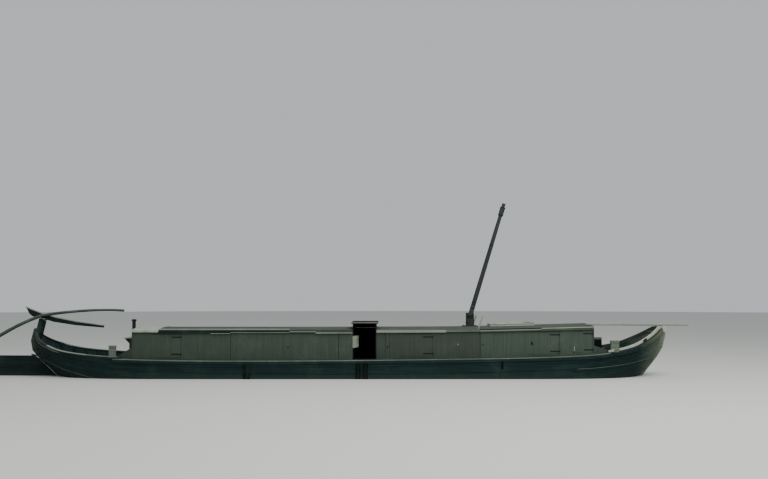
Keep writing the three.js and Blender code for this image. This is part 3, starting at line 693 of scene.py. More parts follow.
def addWallMarks(look, bm, iron, disc, leaves):
    # pitched joints between the walls' sections, the small irons on the walls and a pale disc
    face = look["half"] + look["proud"]
    for x, wide in look["darkJoints"]:
        spans = [(railAt(x).z + 0.045, wallTopAt(x) - 0.004)]
        for aft, fore, low, high in leaves:
            if aft < x < fore:
                spans = [(spans[0][0], low), (high, spans[0][1])]
        for low, high in spans:
            addPlate(bm, (x - wide / 2, face - 0.001, low), (x + wide / 2, face + 0.0015, high), 0.0005)
    for x, z in look["eyes"]:
        addRod(iron, (x, face - 0.002, z), (x, face + 0.006, z), 0.028)
    x, z = look["latch"]
    addPlate(iron, (x - 0.02, face - 0.001, z - 0.035), (x + 0.02, face + 0.008, z + 0.035))
    x, z = look["disc"]
    addRod(disc, (x, face - 0.002, z), (x, face + 0.005, z), 0.03, None, 20)


def addWallBoard(bm, x0, x1, look, holes):
    def add(aft, fore, low, high):
        addBoard(bm, (aft, look["half"] - 0.004, low), (fore, look["half"] + look["proud"], high), 0.0008,
                 tone=0.015, shade=sectionShade(x0))

    foot, head = railAt((x0 + x1) / 2).z + 0.001, wallTopAt((x0 + x1) / 2) - 0.001
    spans = [(foot, head)]
    for aft, fore, low, high in holes:
        if x1 > aft and x0 < fore:
            low, high = low - 0.006, high + 0.006
            spans = [(foot, low), (high, head)]
            if x0 < aft - 0.03:
                add(x0, aft, low, high)
            if x1 > fore + 0.03:
                add(fore, x1, low, high)
    for low, high in spans:
        if high - low > 0.01:
            add(x0, x1, low, high)


def addSkirting(bm, start, stop, face):
    # a moulding where the walls meet the side deck, toned darker than the walls as painted shade at their
    # foot
    def bend(co):
        return Vector((co.x, co.y, co.z + railAt(co.x).z))

    for x0, x1 in splitSpan(start, stop, 1.8):
        addBoard(bm, (x0, face, 0.001), (x1, face + 0.02, 0.035), 0.006, 6, bend, 0.03,
                 shade=0.8 * sectionShade(x0))


def addFrame(bm, aft, fore, low, high, face):
    # narrow cover strips over and under a shutter
    for z0, z1 in ((high + 0.004, high + 0.03), (low - 0.03, low - 0.004)):
        addBoard(bm, (aft - 0.03, face, z0), (fore + 0.03, face + 0.014, z1), 0.004, tone=0.01,
                 shade=sectionShade(aft))


endLook = dict(aft=(-7.243, -1, 0.972), fore=(8.267, 1, 1.072),  # x, which way it faces, foot
               half=1.083, boards=11, corner=1.1,
               bench=(1.47, 1.61, 1.75, 1.85), benchFace=(-7.512, -7.5), benchHalf=0.47, benchTop=1.9)


def makeEnds(look):
    for name in ("aft", "fore"):
        x, out, low = look[name]
        dice.seed(37)
        bm = startBoards()
        top = wallTopAt(x) - 0.002
        x0, x1 = sorted((x, x + out * 0.007))
        for y0, y1 in pairs(spread(-look["half"], look["half"], look["boards"])):
            addBoard(bm, (x0 - 0.002, y0 + 0.0006, low), (x1, y1 - 0.0006, top), 0.0015, tone=0.03)
        x0, x1 = sorted((x - out * 0.001, x + out * 0.012))
        for y in (-look["corner"], look["corner"]):
            addBoard(bm, (x0, y - 0.03, railAt(x).z + 0.02), (x1, y + 0.03, top), 0.005, tone=0.04)
        if name == "aft":
            (x0, x1), y = look["benchFace"], look["benchHalf"]
            for z in look["bench"]:
                addBoard(bm, (x0, -y, z - 0.065), (x1, y, min(z + 0.065, look["benchTop"])), tone=0.06)
        finishPiece("house_end_boards_" + name, bm, "oilPaintedPine")
    print("deckhouse ends boarded")


# A hinged leaf in the axes of its pin: x runs from the pin along the leaf, y out of the face with the pin.
leafLook = dict(start=0.02, inner=-0.0423, face=-0.0073, boardWidth=0.17, gap=0.006,
                strap=0.32, strapWidth=0.044, knuckle=0.012, pinClear=0.0003, bolts=(0.07, 0.17, 0.28))


def addLeaf(wood, iron, look, width, z0, z1, place, ring=False, bead=0.0, shade=1.0):
    start, inner, face, end = look["start"], look["inner"], look["face"], look["start"] + width
    for u0, u1 in pairs(spread(start, end, max(2, round(width / look["boardWidth"])))):
        addBoard(wood, (u0, inner + 0.01, z0), (u1, face, z1), 0.0008, 0, place, 0.015, shade=shade)
    if bead:
        addBoard(wood, (end - 0.03, face - 0.0005, z0 + 0.004), (end + bead, face + 0.006, z1 - 0.004),
                 0.002, 0, place, 0.01, shade=shade)
    inset = 0.16 * (z1 - z0)
    for z in (z0 + inset, z1 - inset):
        addBoard(wood, (start + 0.03, inner, z - 0.05), (end - 0.03, inner + 0.011, z + 0.05), 0.004, 0,
                 place, 0.03)
    inset, half = 0.13 * (z1 - z0), look["strapWidth"] / 2
    for z in (z0 + inset, z1 - inset):
        addPlate(iron, (0.0, face - 0.001, z - half), (look["strap"], face + 0.005, z + half), 0.002, place)
        addRod(iron, (0, 0, z - 0.025), (0, 0, z + 0.025), look["knuckle"], place, 14)
        for u in look["bolts"]:
            addRod(iron, (u, face, z), (u, face + 0.009, z), 0.009, place, 8)
    if ring:
        u, z = end - 0.09, (z0 + z1) / 2
        addPlate(iron, (u - 0.03, face - 0.001, z - 0.05), (u + 0.03, face + 0.004, z + 0.05), 0.003, place)
        addRing(iron, (u, face + 0.011, z - 0.03), 0.035, 0.005, place)


def finishPair(name, wood, iron, finish, body, slotName=None):
    # a leaf or lid of boards, in place of the CAD node of the same name, and the iron on it
    finishPiece(name + "_boards", wood, finish, body, slotName, [name])
    finishPiece(name + "_iron", iron, "forgedIron", body)


def makeShutters(look):
    gap, face = leafLook["gap"], leafLook["face"]
    for name, (aft, fore) in look["shutters"].items():
        z0, z1 = shutterHeights(aft, fore)
        pinX = fore + leafLook["start"] - gap
        pinY = look["half"] + leafLook["knuckle"] + leafLook["pinClear"]
        for side, sideName in sideNames.items():
            def place(co):
                return Vector((pinX - co.x, side * (pinY + co.y), co.z))

            dice.seed(41)
            node = "shutter_%s_%s" % (name, sideName)
            wood, iron = startBoards(), startBoards()
            addLeaf(wood, iron, leafLook, fore - aft - 2 * gap, z0 + gap, z1 - gap, place, name == "cabin",
                    0.014, sectionShade(aft))
            if name == "fore":
                # a wooden grip over an iron plate at the free edge
                grip, u, back = startBoards(), pinX - look["grip"], face - 0.001
                addPlate(iron, (u - 0.018, back, 1.42), (u + 0.018, face + 0.008, 1.52), 0.003, place)
                addPlate(grip, (u - 0.013, back, 1.5), (u + 0.013, face + 0.022, 1.66), 0.005, place)
                finishPiece(node + "_grip", grip, "scrapedAsh", node)
            finishPair(node, wood, iron, "oilPaintedPine", node)
            marks = [(pinX - x, wide) for x, wide in look["darkJoints"] if aft + 0.05 < x < fore]
            if marks:
                wood = startBoards()
                for u, wide in marks:
                    addPlate(wood, (u - wide / 2, face - 0.001, z0 + 0.01),
                             (u + wide / 2, face + 0.0015, z1 - 0.01), 0.0005, place)
                finishPiece(node + "_joint", wood, "pitchBlackPoplar", node)
    print("shutters hung")


doorLook = dict(jamb=0.04, top=2.012, halfDoorFoot=1.612, ajar=72, sill=0.045, pitchedFrom=0.39)


def makeDoors(look, house):
    aft, fore = house["companion"]
    start, inner, gap, foot = leafLook["start"], leafLook["inner"], leafLook["gap"], look["halfDoorFoot"]
    pinX = aft + look["jamb"] + gap - start
    pinY = house["half"] - look["jamb"] - leafLook["knuckle"] - leafLook["pinClear"]
    width = fore - aft - 2 * look["jamb"] - 2 * gap
    turn = math.radians(look["ajar"])

    def portPlace(co):
        return Vector((pinX + co.x, pinY - co.y, co.z))

    def starboardPlace(co):
        return Vector((pinX + co.x * math.cos(turn) - co.y * math.sin(turn),
                       -pinY + co.x * math.sin(turn) + co.y * math.cos(turn), co.z))

    wood, iron = startBoards(), startBoards()
    addLeaf(wood, iron, leafLook, width, railAt(aft).z + look["sill"] + gap, look["top"], portPlace)
    # the port door is pitch black: painted shade inside the deckhouse, seen through the way from starboard
    finishPair("door_port", wood, iron, "pitchBlackPoplar", "door_port", "house_paint")
    wood, iron = startBoards(), startBoards()
    addLeaf(wood, iron, leafLook, width, foot, look["top"], starboardPlace)
    finishPair("half_door_starboard", wood, iron, "limeWhitedOak", "half_door_starboard", "weathered_timber")
    wood = startBoards()
    addBoard(wood, (start + look["pitchedFrom"], inner - 0.002, foot - 0.001),
             (start + width + 0.001, inner + 0.0105, look["top"] + 0.001), 0.002, 0, starboardPlace, 0.02)
    finishPiece("half_door_starboard_pitched_edge", wood, "pitchBlackPoplar", "half_door_starboard")
    print("doors hung")


hoodLook = dict(top=2.42, lintel=2.02, brow=2.215, eaves=0.06, lip=0.03, thick=0.04)


def makeHood(look, house):
    aft, fore = house["companion"]
    half, jamb, top, lintel = house["half"], doorLook["jamb"], look["top"], look["lintel"]
    inAft, inFore, railZ, sill = aft + jamb, fore - jamb, railAt(aft).z, doorLook["sill"]
    low, foot, x0, x1 = railZ - 0.1, railZ + sill, aft - look["eaves"], fore + look["eaves"]
    bm, trim, stops = startBoards(), startBoards(), startBoards()
    lip, crown = half + look["lip"], top + look["thick"]
    for a, b in pairs(spread(x0, x1, 4)):
        addBoard(bm, (a + 0.002, -lip, top), (b - 0.002, lip, crown), 0.006)
    for a, b in ((aft + 0.0003, inAft), (inFore, fore - 0.0003)):
        addBoard(bm, (a, -half, lintel), (b, half, top), 0.003, tone=0.05)
        for y in (half - jamb, -half):
            addBoard(bm, (a, y, low), (b, y + jamb, lintel), 0.003, tone=0.05)
    for y in (half - jamb, -half):
        addBoard(bm, (inAft, y, low), (inFore, y + jamb, foot), 0.005, tone=0.05)
    # the boards over the port door are pitch black too, as painted shade seen through the way
    for z0, z1 in ((lintel, look["brow"]), (look["brow"] + 0.003, top)):
        addBoard(bm, (inAft, half - jamb, z0), (inFore, half, z1), 0.003, tone=0.05)
    finishPiece("companion_hood_boards", bm, "pitchBlackPoplar", replaces=["companion_hood"])
    for side in sideNames:
        y0, y1 = sideSpan(side, half + 0.0295, half + 0.036)
        addBoard(trim, (x0, y0, top + 0.022), (x1, y1, crown), 0.002, tone=0.04)
        y0, y1 = sideSpan(side, half - 0.0005, half + 0.0035)
        addBoard(trim, (aft + 0.001, y0, doorLook["halfDoorFoot"]), (inAft, y1, doorLook["top"]), 0.0015,
                 tone=0.04)
    finishPiece("hood_trim", trim, "scrapedAsh", slotName="white_paint")
    # stops outside the port door close the gaps round it; they are pitch black like the door, as painted
    # shade
    a, b = inAft + 0.03, inFore - 0.03
    for x0, x1, z0, z1 in ((inAft - 0.002, a, foot, lintel), (b, inFore + 0.002, foot, lintel),
                           (a, b, foot - 0.002, foot + 0.03), (a, b, lintel - 0.03, lintel + 0.002)):
        addBoard(stops, (x0, half - 0.0085, z0), (x1, half - 0.001, z1), 0.001, tone=0.02)
    finishPiece("door_port_stops", stops, "pitchBlackPoplar")
    print("hood over the way through built")


seatLook = dict(boards=((-7.706, -7.478), (-7.474, -7.25)), half=0.528, low=1.902, high=1.9352)


def makeSeat(look):
    # two scrubbed boards on the bench against the aft end
    bm = startBoards()
    for x0, x1 in look["boards"]:
        addBoard(bm, (x0, -look["half"], look["low"]), (x1, look["half"], look["high"]), 0.006)
    finishPiece("seat_boards", bm, "limeWhitedOak", slotName="weathered_timber")


makeWalls(houseLook)
makeEnds(endLook)
makeShutters(houseLook)
makeDoors(doorLook, houseLook)
makeHood(hoodLook, houseLook)
makeSeat(seatLook)


# Roofs, hatch, side decks and floors

roofLook = dict(
    half=1.18, edge=0.08, camber=0.065, crownHalf=0.3,   # the CAD roof's section, above the wall tops
    sections=dict(aft=(-7.243, 0.1657), hold=(0.9633, 4.4457), cabin=(4.446, 8.267)),
    boardWidth=0.185, longest=2.6, thick=0.012, gap=0.0015,
    hatch=dict(aft=4.87, fore=6.37, half=0.45, wall=0.04, top=0.205, lining=0.012),
)
# What edges the roof on each side: from x, to x, low and high above the wall tops, finish.
# Some is a bare pale board, some a thin strip over a dark gap, as the roof was patched; the dark strips of
# tarred elm and aged oak are painted shade in these gaps.
roofEdges = [
    (-6.35, -3.932, -0.016, 0.08, "tarredElm"), (-4.6, -3.932, -0.034, -0.018, "scrapedAsh"),
    (-3.93, -1.95, 0.019, 0.08, "tarredElm"), (-3.93, -1.95, 0.001, 0.017, "scrapedAsh"),
    (-1.95, -1.07, 0.05, 0.08, "agedOak"), (-1.95, -1.07, 0.02, 0.048, "scrapedAsh"),
    (-1.07, 0.164, 0.03, 0.08, "agedOak"), (-1.07, 0.164, -0.033, 0.028, "weatheredOak"),
    (0.965, 3.3, -0.006, 0.083, "scrapedAsh"), (3.3, 4.444, 0.006, 0.08, "weatheredOak"),
    (4.448, 6.5, 0.052, 0.083, "tarredElm"), (4.448, 6.5, 0.022, 0.05, "scrapedAsh"),
    (4.448, 6.5, -0.01, 0.02, "oilPaintedPine"),
    (6.5, 8.267, 0.045, 0.083, "scrapedAsh"), (6.5, 8.267, 0.03, 0.043, "tarredElm"),
    (6.5, 8.267, -0.02, 0.028, "oilPaintedPine"),
]


def roofHeight(y):
    look = roofLook
    slope = max(0.0, (abs(y) - look["crownHalf"]) / (look["half"] - look["crownHalf"]))
    return look["edge"] + look["camber"] - look["camber"] * slope ** 1.6


def raised(co):
    # drawn above the wall tops
    return Vector((co.x, co.y, wallTopAt(co.x) + co.z))


def onRoof(co):
    # drawn above the cambered roof
    return Vector((co.x, co.y, wallTopAt(co.x) + roofHeight(co.y) + co.z))


def makeRoofBoards(look):
    hatch, gap = look["hatch"], look["gap"]
    for name, (start, stop) in look["sections"].items():
        dice.seed(53)
        bm = startBoards()
        for y0, y1 in splitSpan(-look["half"], look["half"], look["boardWidth"]):
            for x0, x1 in splitSpan(start, stop, look["longest"]):
                spans = [(x0, x1)]
                if name == "cabin" and min(abs(y0), abs(y1)) < hatch["half"]:
                    spans = [(x0, min(x1, hatch["aft"] - 0.002)), (max(x0, hatch["fore"] + 0.002), x1)]
                for a, b in spans:
                    if b - a > 0.02:
                        addBoard(bm, (a + gap, y0 + gap, -0.002), (b - gap, y1 - gap, look["thick"]), 0.004,
                                 4, onRoof, 0.09)
        finishPiece("roof_boards_" + name, bm, "pitchedRoofPine")


def addRoofEdge(bm, x0, x1, low, high, side, half):
    def bend(co):
        return Vector((co.x, side * (half + co.y), wallTopAt(co.x) + co.z))

    for a, b in splitSpan(x0, x1, 3.0):
        addBoard(bm, (a + 0.001, -0.003, low), (b - 0.001, 0.016, high), 0.004, 4, bend, 0.04,
                 shade=sectionShade(x0 + 0.01) if low < 0 else 1.0)


def makeRoofEdges(look):
    for finish in sorted({kind for *_, kind in roofEdges}):
        bm = startBoards()
        for side in sideNames:
            for *edge, kind in roofEdges:
                if kind == finish:
                    addRoofEdge(bm, *edge, side, look["half"])
        finishPiece("roof_edge_" + finish, bm, finish, slotName="roof_boards")
    # a dark band set just inside the roof's edges: painted shade under them
    bm = startBoards()
    for side in sideNames:
        for x0, x1 in ((-6.35, 0.164), (4.448, 8.267)):
            addRoofEdge(bm, x0, x1, 0.0, 0.05, side, look["half"] - 0.004)
    finishPiece("roof_edge_shadow_gap", bm, "tarredOak", slotName="roof_boards")
    print("roof boards laid")


def measure(points):
    # how far each point is along the line through them
    marks = [0.0]
    for a, b in pairs(points):
        marks.append(marks[-1] + (b - a).length)
    return marks


def pointAt(points, marks, distance):
    # the point at this distance along the line, and the step of the line there
    i = min(max(bisect.bisect_right(marks, distance) - 1, 0), len(marks) - 2)
    share = (distance - marks[i]) / (marks[i + 1] - marks[i])
    return points[i].lerp(points[i + 1], share), points[i + 1] - points[i]


# The canvas over the aft end of the roof is tacked down and turned over both edges.
canvasLook = dict(aft=-7.241, fore=-6.35, hang=0.006, clear=0.003, thick=0.003, hem=0.035, ridge=0.0018,
                  ripple=0.0012, along=50, across=110, tack=0.135, tackRadius=0.006)


def canvasSection(look, roof):
    # from the port hem over the roof to the starboard one: y and height above the wall tops
    top, out = roof["thick"] + look["clear"], roof["half"] + 0.007
    side = [(out, look["hang"]), (out, 0.04), (out, 0.078), (out - 0.003, 0.088),
            (roof["half"] - 0.006, 0.08 + top)]
    half = [Vector(point) for point in side + [(y, roofHeight(y) + top) for y in spread(1.14, 0.0, 24)]]
    return half + [Vector((-point.x, point.y)) for point in reversed(half[:-1])]


def makeRoofCanvas(look, roof):
    section = canvasSection(look, roof)
    marks = measure(section)
    aft, fore = look["aft"], look["fore"]
    size = (fore - aft, marks[-1])

    def lay(co):
        x = aft + (co.x + 0.5) * size[0]
        way = min(max(co.y + 0.5, 0.0), 1.0) * size[1]
        point, _ = pointAt(section, marks, way)
        edge = min(x - aft, fore - x, way, size[1] - way)
        lift = look["ridge"] if edge < look["hem"] else 0.0
        ripple = 1 + math.sin(9.0 * x + 2.0 * point.x) * math.sin(7.0 * point.x - 3.0 * x)
        return Vector((x, point.x, wallTopAt(x) + point.y + (lift + look["ripple"] * ripple)))

    bm = bmesh.new()
    bmesh.ops.create_grid(bm, x_segments=look["along"], y_segments=look["across"], size=0.5)
    for vert in bm.verts:
        vert.co = lay(vert.co)
    bm.normal_update()
    bmesh.ops.solidify(bm, geom=bm.faces[:], thickness=look["thick"])
    piece = finishPiece("roof_canvas_aft", bm, "limeWashedCanvas", smooth=True)

    iron, radius = startBoards(), look["tackRadius"]
    inner, clear = look["hem"] * 0.5, roof["thick"] + look["clear"]
    for x in (aft + inner, fore - inner):
        for y in spread(-1.12, 1.12, round(2.24 / look["tack"])):
            z = wallTopAt(x) + roofHeight(y) + clear
            addRod(iron, (x, y, z), (x, y, z + 0.0062), radius, None, 8)
    for x in spread(aft + inner, fore - inner, 6):
        for side in sideNames:
            y, z = roof["half"] + 0.006, wallTopAt(x) + look["hang"] + inner
            addRod(iron, (x, side * y, z), (x, side * (y + 0.006), z), radius, None, 8)
    finishPiece("canvas_tacks", iron, "forgedIron")


# battens: from x, to x, from y, to y, underside and top above the roof. stay: x and z of the boards
# beside the tabernacle, and their two faces.
fittingsLook = dict(battens=(-6.35, -1.95, 1.12, 1.165, 0.01, 0.045), longest=2.2,
                    stay=((4.367, 4.37), (4.418, 4.415)), stayHead=((4.519, 2.673), (4.569, 2.657)),
                    stayFaces=(1.0575, 1.1125))


def makeRoofFittings(look):
    bm, stay = startBoards(), startBoards()
    start, stop, y0, y1, low, high = look["battens"]
    for side in sideNames:
        def lay(co):
            return onRoof(Vector((co.x, side * co.y, co.z)))

        for x0, x1 in splitSpan(start, stop, look["longest"]):
            addBoard(bm, (x0 + 0.002, y0, low), (x1 - 0.002, y1, high), 0.004, 4, lay)
    finishPiece("roof_battens_aft", bm, "scrapedAsh")
    aft, fore = [(x, wallTopAt(under) + 0.085) for x, under in look["stay"]]
    for side in sideNames:
        addProfile(stay, [aft, *look["stayHead"], fore], *sideSpan(side, *look["stayFaces"]), 0.004)
    finishPiece("roof_stay_boards", stay, "scrapedAsh")


def makeHatch(look):
    hatch = look["hatch"]
    aft, fore, half, wall, top = hatch["aft"], hatch["fore"], hatch["half"], hatch["wall"], hatch["top"]
    lining = hatch["lining"]
    foot, rim = look["edge"] + look["camber"] - 0.01, top - lining
    bm, wood, iron = startBoards(), startBoards(), startBoards()
    for side in sideNames:
        y0, y1 = sideSpan(side, half - 0.002, half + lining)
        addBoard(bm, (aft - lining, y0, foot), (fore + lining, y1, rim), 0.004, 4, raised, 0.04)
    for x0, x1 in ((aft - lining, aft + 0.002), (fore - 0.002, fore + lining)):
        addBoard(bm, (x0, -half, foot), (x1, half, rim), 0.004, 0, raised, 0.04)
    finishPiece("hatch_coaming_boards", bm, "limeWhitedOak")

    x0, x1, reach = aft - wall / 2, fore + wall / 2, half + wall / 2
    for y0, y1 in pairs(spread(-reach, reach, 5)):
        addBoard(wood, (x0, y0 + 0.001, top + 0.001), (x1, y1 - 0.001, top + 0.026), 0.004, 2, raised, 0.05)
    for x in (x0 + 0.09, (x0 + x1) / 2, x1 - 0.09):
        addBoard(wood, (x - 0.05, -reach + 0.02, top + 0.025), (x + 0.05, reach - 0.02, top + 0.04), 0.005,
                 0, raised, 0.04)
    for y in (-0.28, 0.28):
        addPlate(iron, (x1 - 0.34, y - 0.02, top + 0.038), (x1 - 0.01, y + 0.02, top + 0.046), 0.002, raised)
        addRod(iron, (x1 - 0.002, y - 0.05, top + 0.028), (x1 - 0.002, y + 0.05, top + 0.028), 0.013, raised)
    addRing(iron, (x0 + 0.2, 0, top + 0.033 + wallTopAt(x0)), 0.045, 0.007, flat=True)
    addPlate(iron, (x0 + 0.13, -0.03, top + 0.025), (x0 + 0.19, 0.03, top + 0.036), 0.003, raised)
    finishPair("hatch_lid", wood, iron, "limeWhitedOak", "hatch_lid")
    print("hatch built")


# lengths: boards in the length of a side deck. shift: how far each row's butts are moved on, in boards.
deckLook = dict(rows=3, aft=-7.75, fore=8.8, inner=1.1255, edge=0.0595, thick=0.045, lengths=4.3,
                shift=0.33, floorBoards=17,
                floors=dict(stern=(0.97, -10.05, -7.2433), bow=(1.07, 8.2673, 10.0)))  # top, from x, to x


def makeSideDecks(look):
    first, last = stationOf(railRows, look["aft"]), stationOf(railRows, look["fore"])

    def lay(bms):
        for row in range(look["rows"]):
            butts = [first + (last - first) * (k + look["shift"] * row) / look["lengths"]
                     for k in range(1, 5)]
            for start, stop in pairs([first, *butts, last]):
                if stop <= start:
                    continue
                length = reachOf(railRows, start, stop)

                def bend(co):
                    t = start + (stop - start) * co.x / length
                    point = along(railRows, t) - outwards(railRows, t) * look["edge"]
                    y = look["inner"] + (point.y - look["inner"]) * ((row + co.y) / look["rows"])
                    return Vector((point.x, y, point.z + co.z))

                addBoard(bms["side_deck_boards"], (0.002, 0.012, -look["thick"]), (length - 0.002, 0.988, 0),
                         0.004, cutsIn(length, 0.3), bend, 0.1)

    layBothSides(59, {"side_deck_boards": dict(finish="scrubbedDeckPine", replaces=["side_deck"])}, lay)
    print("side decks laid")


def makeFloors(look):
    # boards over the CAD floors, each running as far as the hull's inner side lets it
    for name, (top, aft, fore) in look["floors"].items():
        dice.seed(61)
        bm = startBoards()
        room = [(x, insideBreadth(x, top)) for x in spread(aft, fore, 300)]

        def reach(y):
            inside = [x for x, breadth in room if breadth >= y]
            return inside[0], inside[-1]

        def trim(co):
            # the ends of the boards follow the planking
            first, last = reach(abs(co.y))
            return Vector((min(max(co.x, first), last), co.y, co.z))

        wide = max(y for _, y in room) - 0.012
        for y0, y1 in pairs(spread(-wide, wide, look["floorBoards"])):
            first, last = reach(min(abs(y0), abs(y1)) if y0 * y1 > 0 else 0)
            addBoard(bm, (first, y0 + 0.002, top - 0.002), (last, y1 - 0.002, top + 0.008), 0.003, 0, trim,
                     0.1)
        finishPiece(name + "_floor_boards", bm, "scrubbedDeckPine")
    print("floors laid")


def insideBreadth(x, z):
    # half breadth inside the planking at this height
    t = search(lambda t: hullAt(t, z, -0.05).x, x, 25)
    return hullAt(t, z, -0.05).y


# from x, to x, spaces and foot at each end, then half their width, their depth and how far in they lie
ribLook = dict(ends=((-10.3, -7.5, 7, 0.915), (8.55, 10.35, 5, 1.015)), half=0.035, depth=0.055,
               inset=0.054)


def makeRibs(look):
    # frames against the inside of the planking where the ends of the boat are open
    bm, half = startBoards(), look["half"]
    for start, stop, count, foot in look["ends"]:
        for x in spread(start, stop, count):
            t = stationOf(railRows, x)
            for side in sideNames:
                def bend(co):
                    point = hullAt(t, co.z, -look["inset"] - co.y)
                    return Vector((point.x + co.x, side * point.y, co.z))

                head = along(railRows, t).z - 0.012
                addBoard(bm, (-half, 0, foot), (half, look["depth"], head), 0.006, 3, bend, 0.08, 2)
    finishPiece("end_frames", bm, "tarredOak")
    print("frames set in the open ends")


makeRoofBoards(roofLook)
makeRoofCanvas(canvasLook, roofLook)
makeRoofFittings(fittingsLook)
makeRoofEdges(roofLook)
makeHatch(roofLook)
makeSideDecks(deckLook)
makeFloors(deckLook)
makeRibs(ribLook)

# Rudder, tiller, steering beam, posts and mast irons

rudderLook = dict(
    foot=(-11.0, 0.0, 1.22), tilt=13,        # the foot of the leaning pin and its angle
    half=0.055, planks=4, proud=0.006, low=0.235, height=1.05, seam=0.003, tail=-13.2,
    fore=((0.185, -9.68), (0.54, -10.07), (1.195, -10.785), (1.27, -10.9)),  # z and x of the fore edge
    straps=((0.5, 1.1), (1.02, 1.4)),        # height and length
    plates=(-12.6, -13.08), plateSpan=(0.3, 1.22),
    tiller=((-0.648, 1.655), (-0.567, 1.58), (-0.48, 1.47), (-0.346, 1.395), (-0.15, 1.39), (-0.115, 1.4),
            (0.115, 1.4), (0.15, 1.385), (0.431, 1.368), (1.2, 1.425), (2.16, 1.56), (2.16, 1.644),
            (1.2, 1.562), (0.431, 1.534), (0.0, 1.56)),
    crest=((-0.648, 1.655), (0.0, 1.56), (0.431, 1.534), (1.2, 1.562), (2.16, 1.644)),
    beam=((-13.13, 1.11), (-12.99, 1.4), (-12.65, 1.68), (-12.16, 1.951), (-11.5, 2.32), (-10.825, 2.616),
          (-10.447, 2.71), (-9.82, 2.79), (-9.07, 2.85), (-8.315, 2.867), (-7.81, 2.85)),
    beamWearAndHighlight=3.4,                            # how much paler the top of the beam is drawn: hand wear, and painted highlight where light falls on it
    # boxes in the pin's axes, on the fore side of the post's head and under the tiller, then the irons that
    # bind the tiller: x, underside, and top under it and beside it
    doubling=((0.085, -0.045, 0.72), (0.165, 0.045, 1.33)),
    block=((-0.08, -0.05, 1.345), (0.16, 0.05, 1.376)),
    irons=(-0.2, 0.17), ironHeights=(1.383, 1.39, 1.57),
    # the iron under the beam's foot, and the x and z of its bolts
    beamIron=((-13.16, 1.14), (-12.99, 1.2)), beamBolts=((-13.1, 1.17), (-13.04, 1.3)),
)


def onRudderAxis(co):
    # from the axes of the rudder's leaning pin into the boat's
    angle = math.radians(rudderLook["tilt"])
    x, y, z = rudderLook["foot"]
    return Vector((x + co.x * math.cos(angle) + co.z * math.sin(angle), y + co.y,
                   z - co.x * math.sin(angle) + co.z * math.cos(angle)))


def makeRudder(look):
    dice.seed(67)
    half, tail, fore = look["half"], look["tail"], look["fore"]
    bm, post, block, iron = startBoards(), startBoards(), startBoards(), startBoards()
    for a, b in pairs(spread(0, 1, look["planks"])):
        z0 = look["low"] + look["height"] * a + look["seam"]
        z1 = look["low"] + look["height"] * b - look["seam"]
        x0, x1 = interpolate(fore, z0) - 0.02, interpolate(fore, z1) - 0.02
        for side in sideNames:
            addProfile(bm, [(tail, z0), (x0, z0), (x1, z1), (tail, z1)],
                       *sideSpan(side, half - 0.001, half + look["proud"]), 0.003, None, 0.1)
    finishPiece("rudder_planks", bm, "tarredElm", "rudder")
    # a doubling on the fore side of the post's head, and the block that the tiller is shipped on
    addBoard(post, *look["doubling"], 0.012, 2, onRudderAxis, 0.02, 2)
    finishPiece("stern_post_doubling", post, "tarredElm")
    addBoard(block, *look["block"], 0.006, 0, onRudderAxis, 0.02)
    finishPiece("tiller_block", block, "tarredElm", "rudder")

    for z, reach in look["straps"]:
        x = interpolate(fore, z) - 0.03
        for side in sideNames:
            y0, y1 = sideSpan(side, half, half + 0.013)
            addPlate(iron, (x - reach, y0, z - 0.035), (x, y1, z + 0.035))
            for k in range(5):
                bolt = x - 0.08 - (reach - 0.16) * k / 4
                addRod(iron, (bolt, side * (half + 0.01), z), (bolt, side * (half + 0.02), z), 0.017)
    low, high = look["plateSpan"]
    for x in look["plates"]:
        for side in sideNames:
            y0, y1 = sideSpan(side, half, half + 0.012)
            addPlate(iron, (x - 0.03, y0, low), (x + 0.03, y1, high))
    finishPiece("rudder_irons", iron, "forgedIron", "rudder")
    print("rudder built")


def makeTiller(look):
    bm, worn, iron, half = startBoards(), startBoards(), startBoards(), look["half"]
    addProfile(bm, look["tiller"], -half, half, 0.012, onRudderAxis)
    finishPiece("tiller_timber", bm, "tarredElm", "rudder", "weathered_timber", ["tiller"])
    # a pale strip along the tiller's top: wear from hands, and painted highlight on the lit top
    for (x0, z0), (x1, z1) in pairs(look["crest"]):
        strip = [(x0, z0 - 0.02), (x1, z1 - 0.02), (x1, z1 + 0.004), (x0, z0 + 0.004)]
        addProfile(worn, strip, -half - 0.003, half + 0.003, 0.002, onRudderAxis)
    finishPiece("tiller_worn_and_highlit_top", worn, "scrapedAsh", "rudder")
    inner, outer = half + 0.0005, half + 0.006
    low, under, beside = look["ironHeights"]
    for x in look["irons"]:
        for y0, y1, high in ((-outer, outer, under), (-outer, -inner, beside), (inner, outer, beside)):
            addPlate(iron, (x - 0.028, y0, low), (x + 0.028, y1, high), 0.002, onRudderAxis)
    finishPiece("tiller_irons", iron, "forgedIron", "rudder")
    print("tiller built")


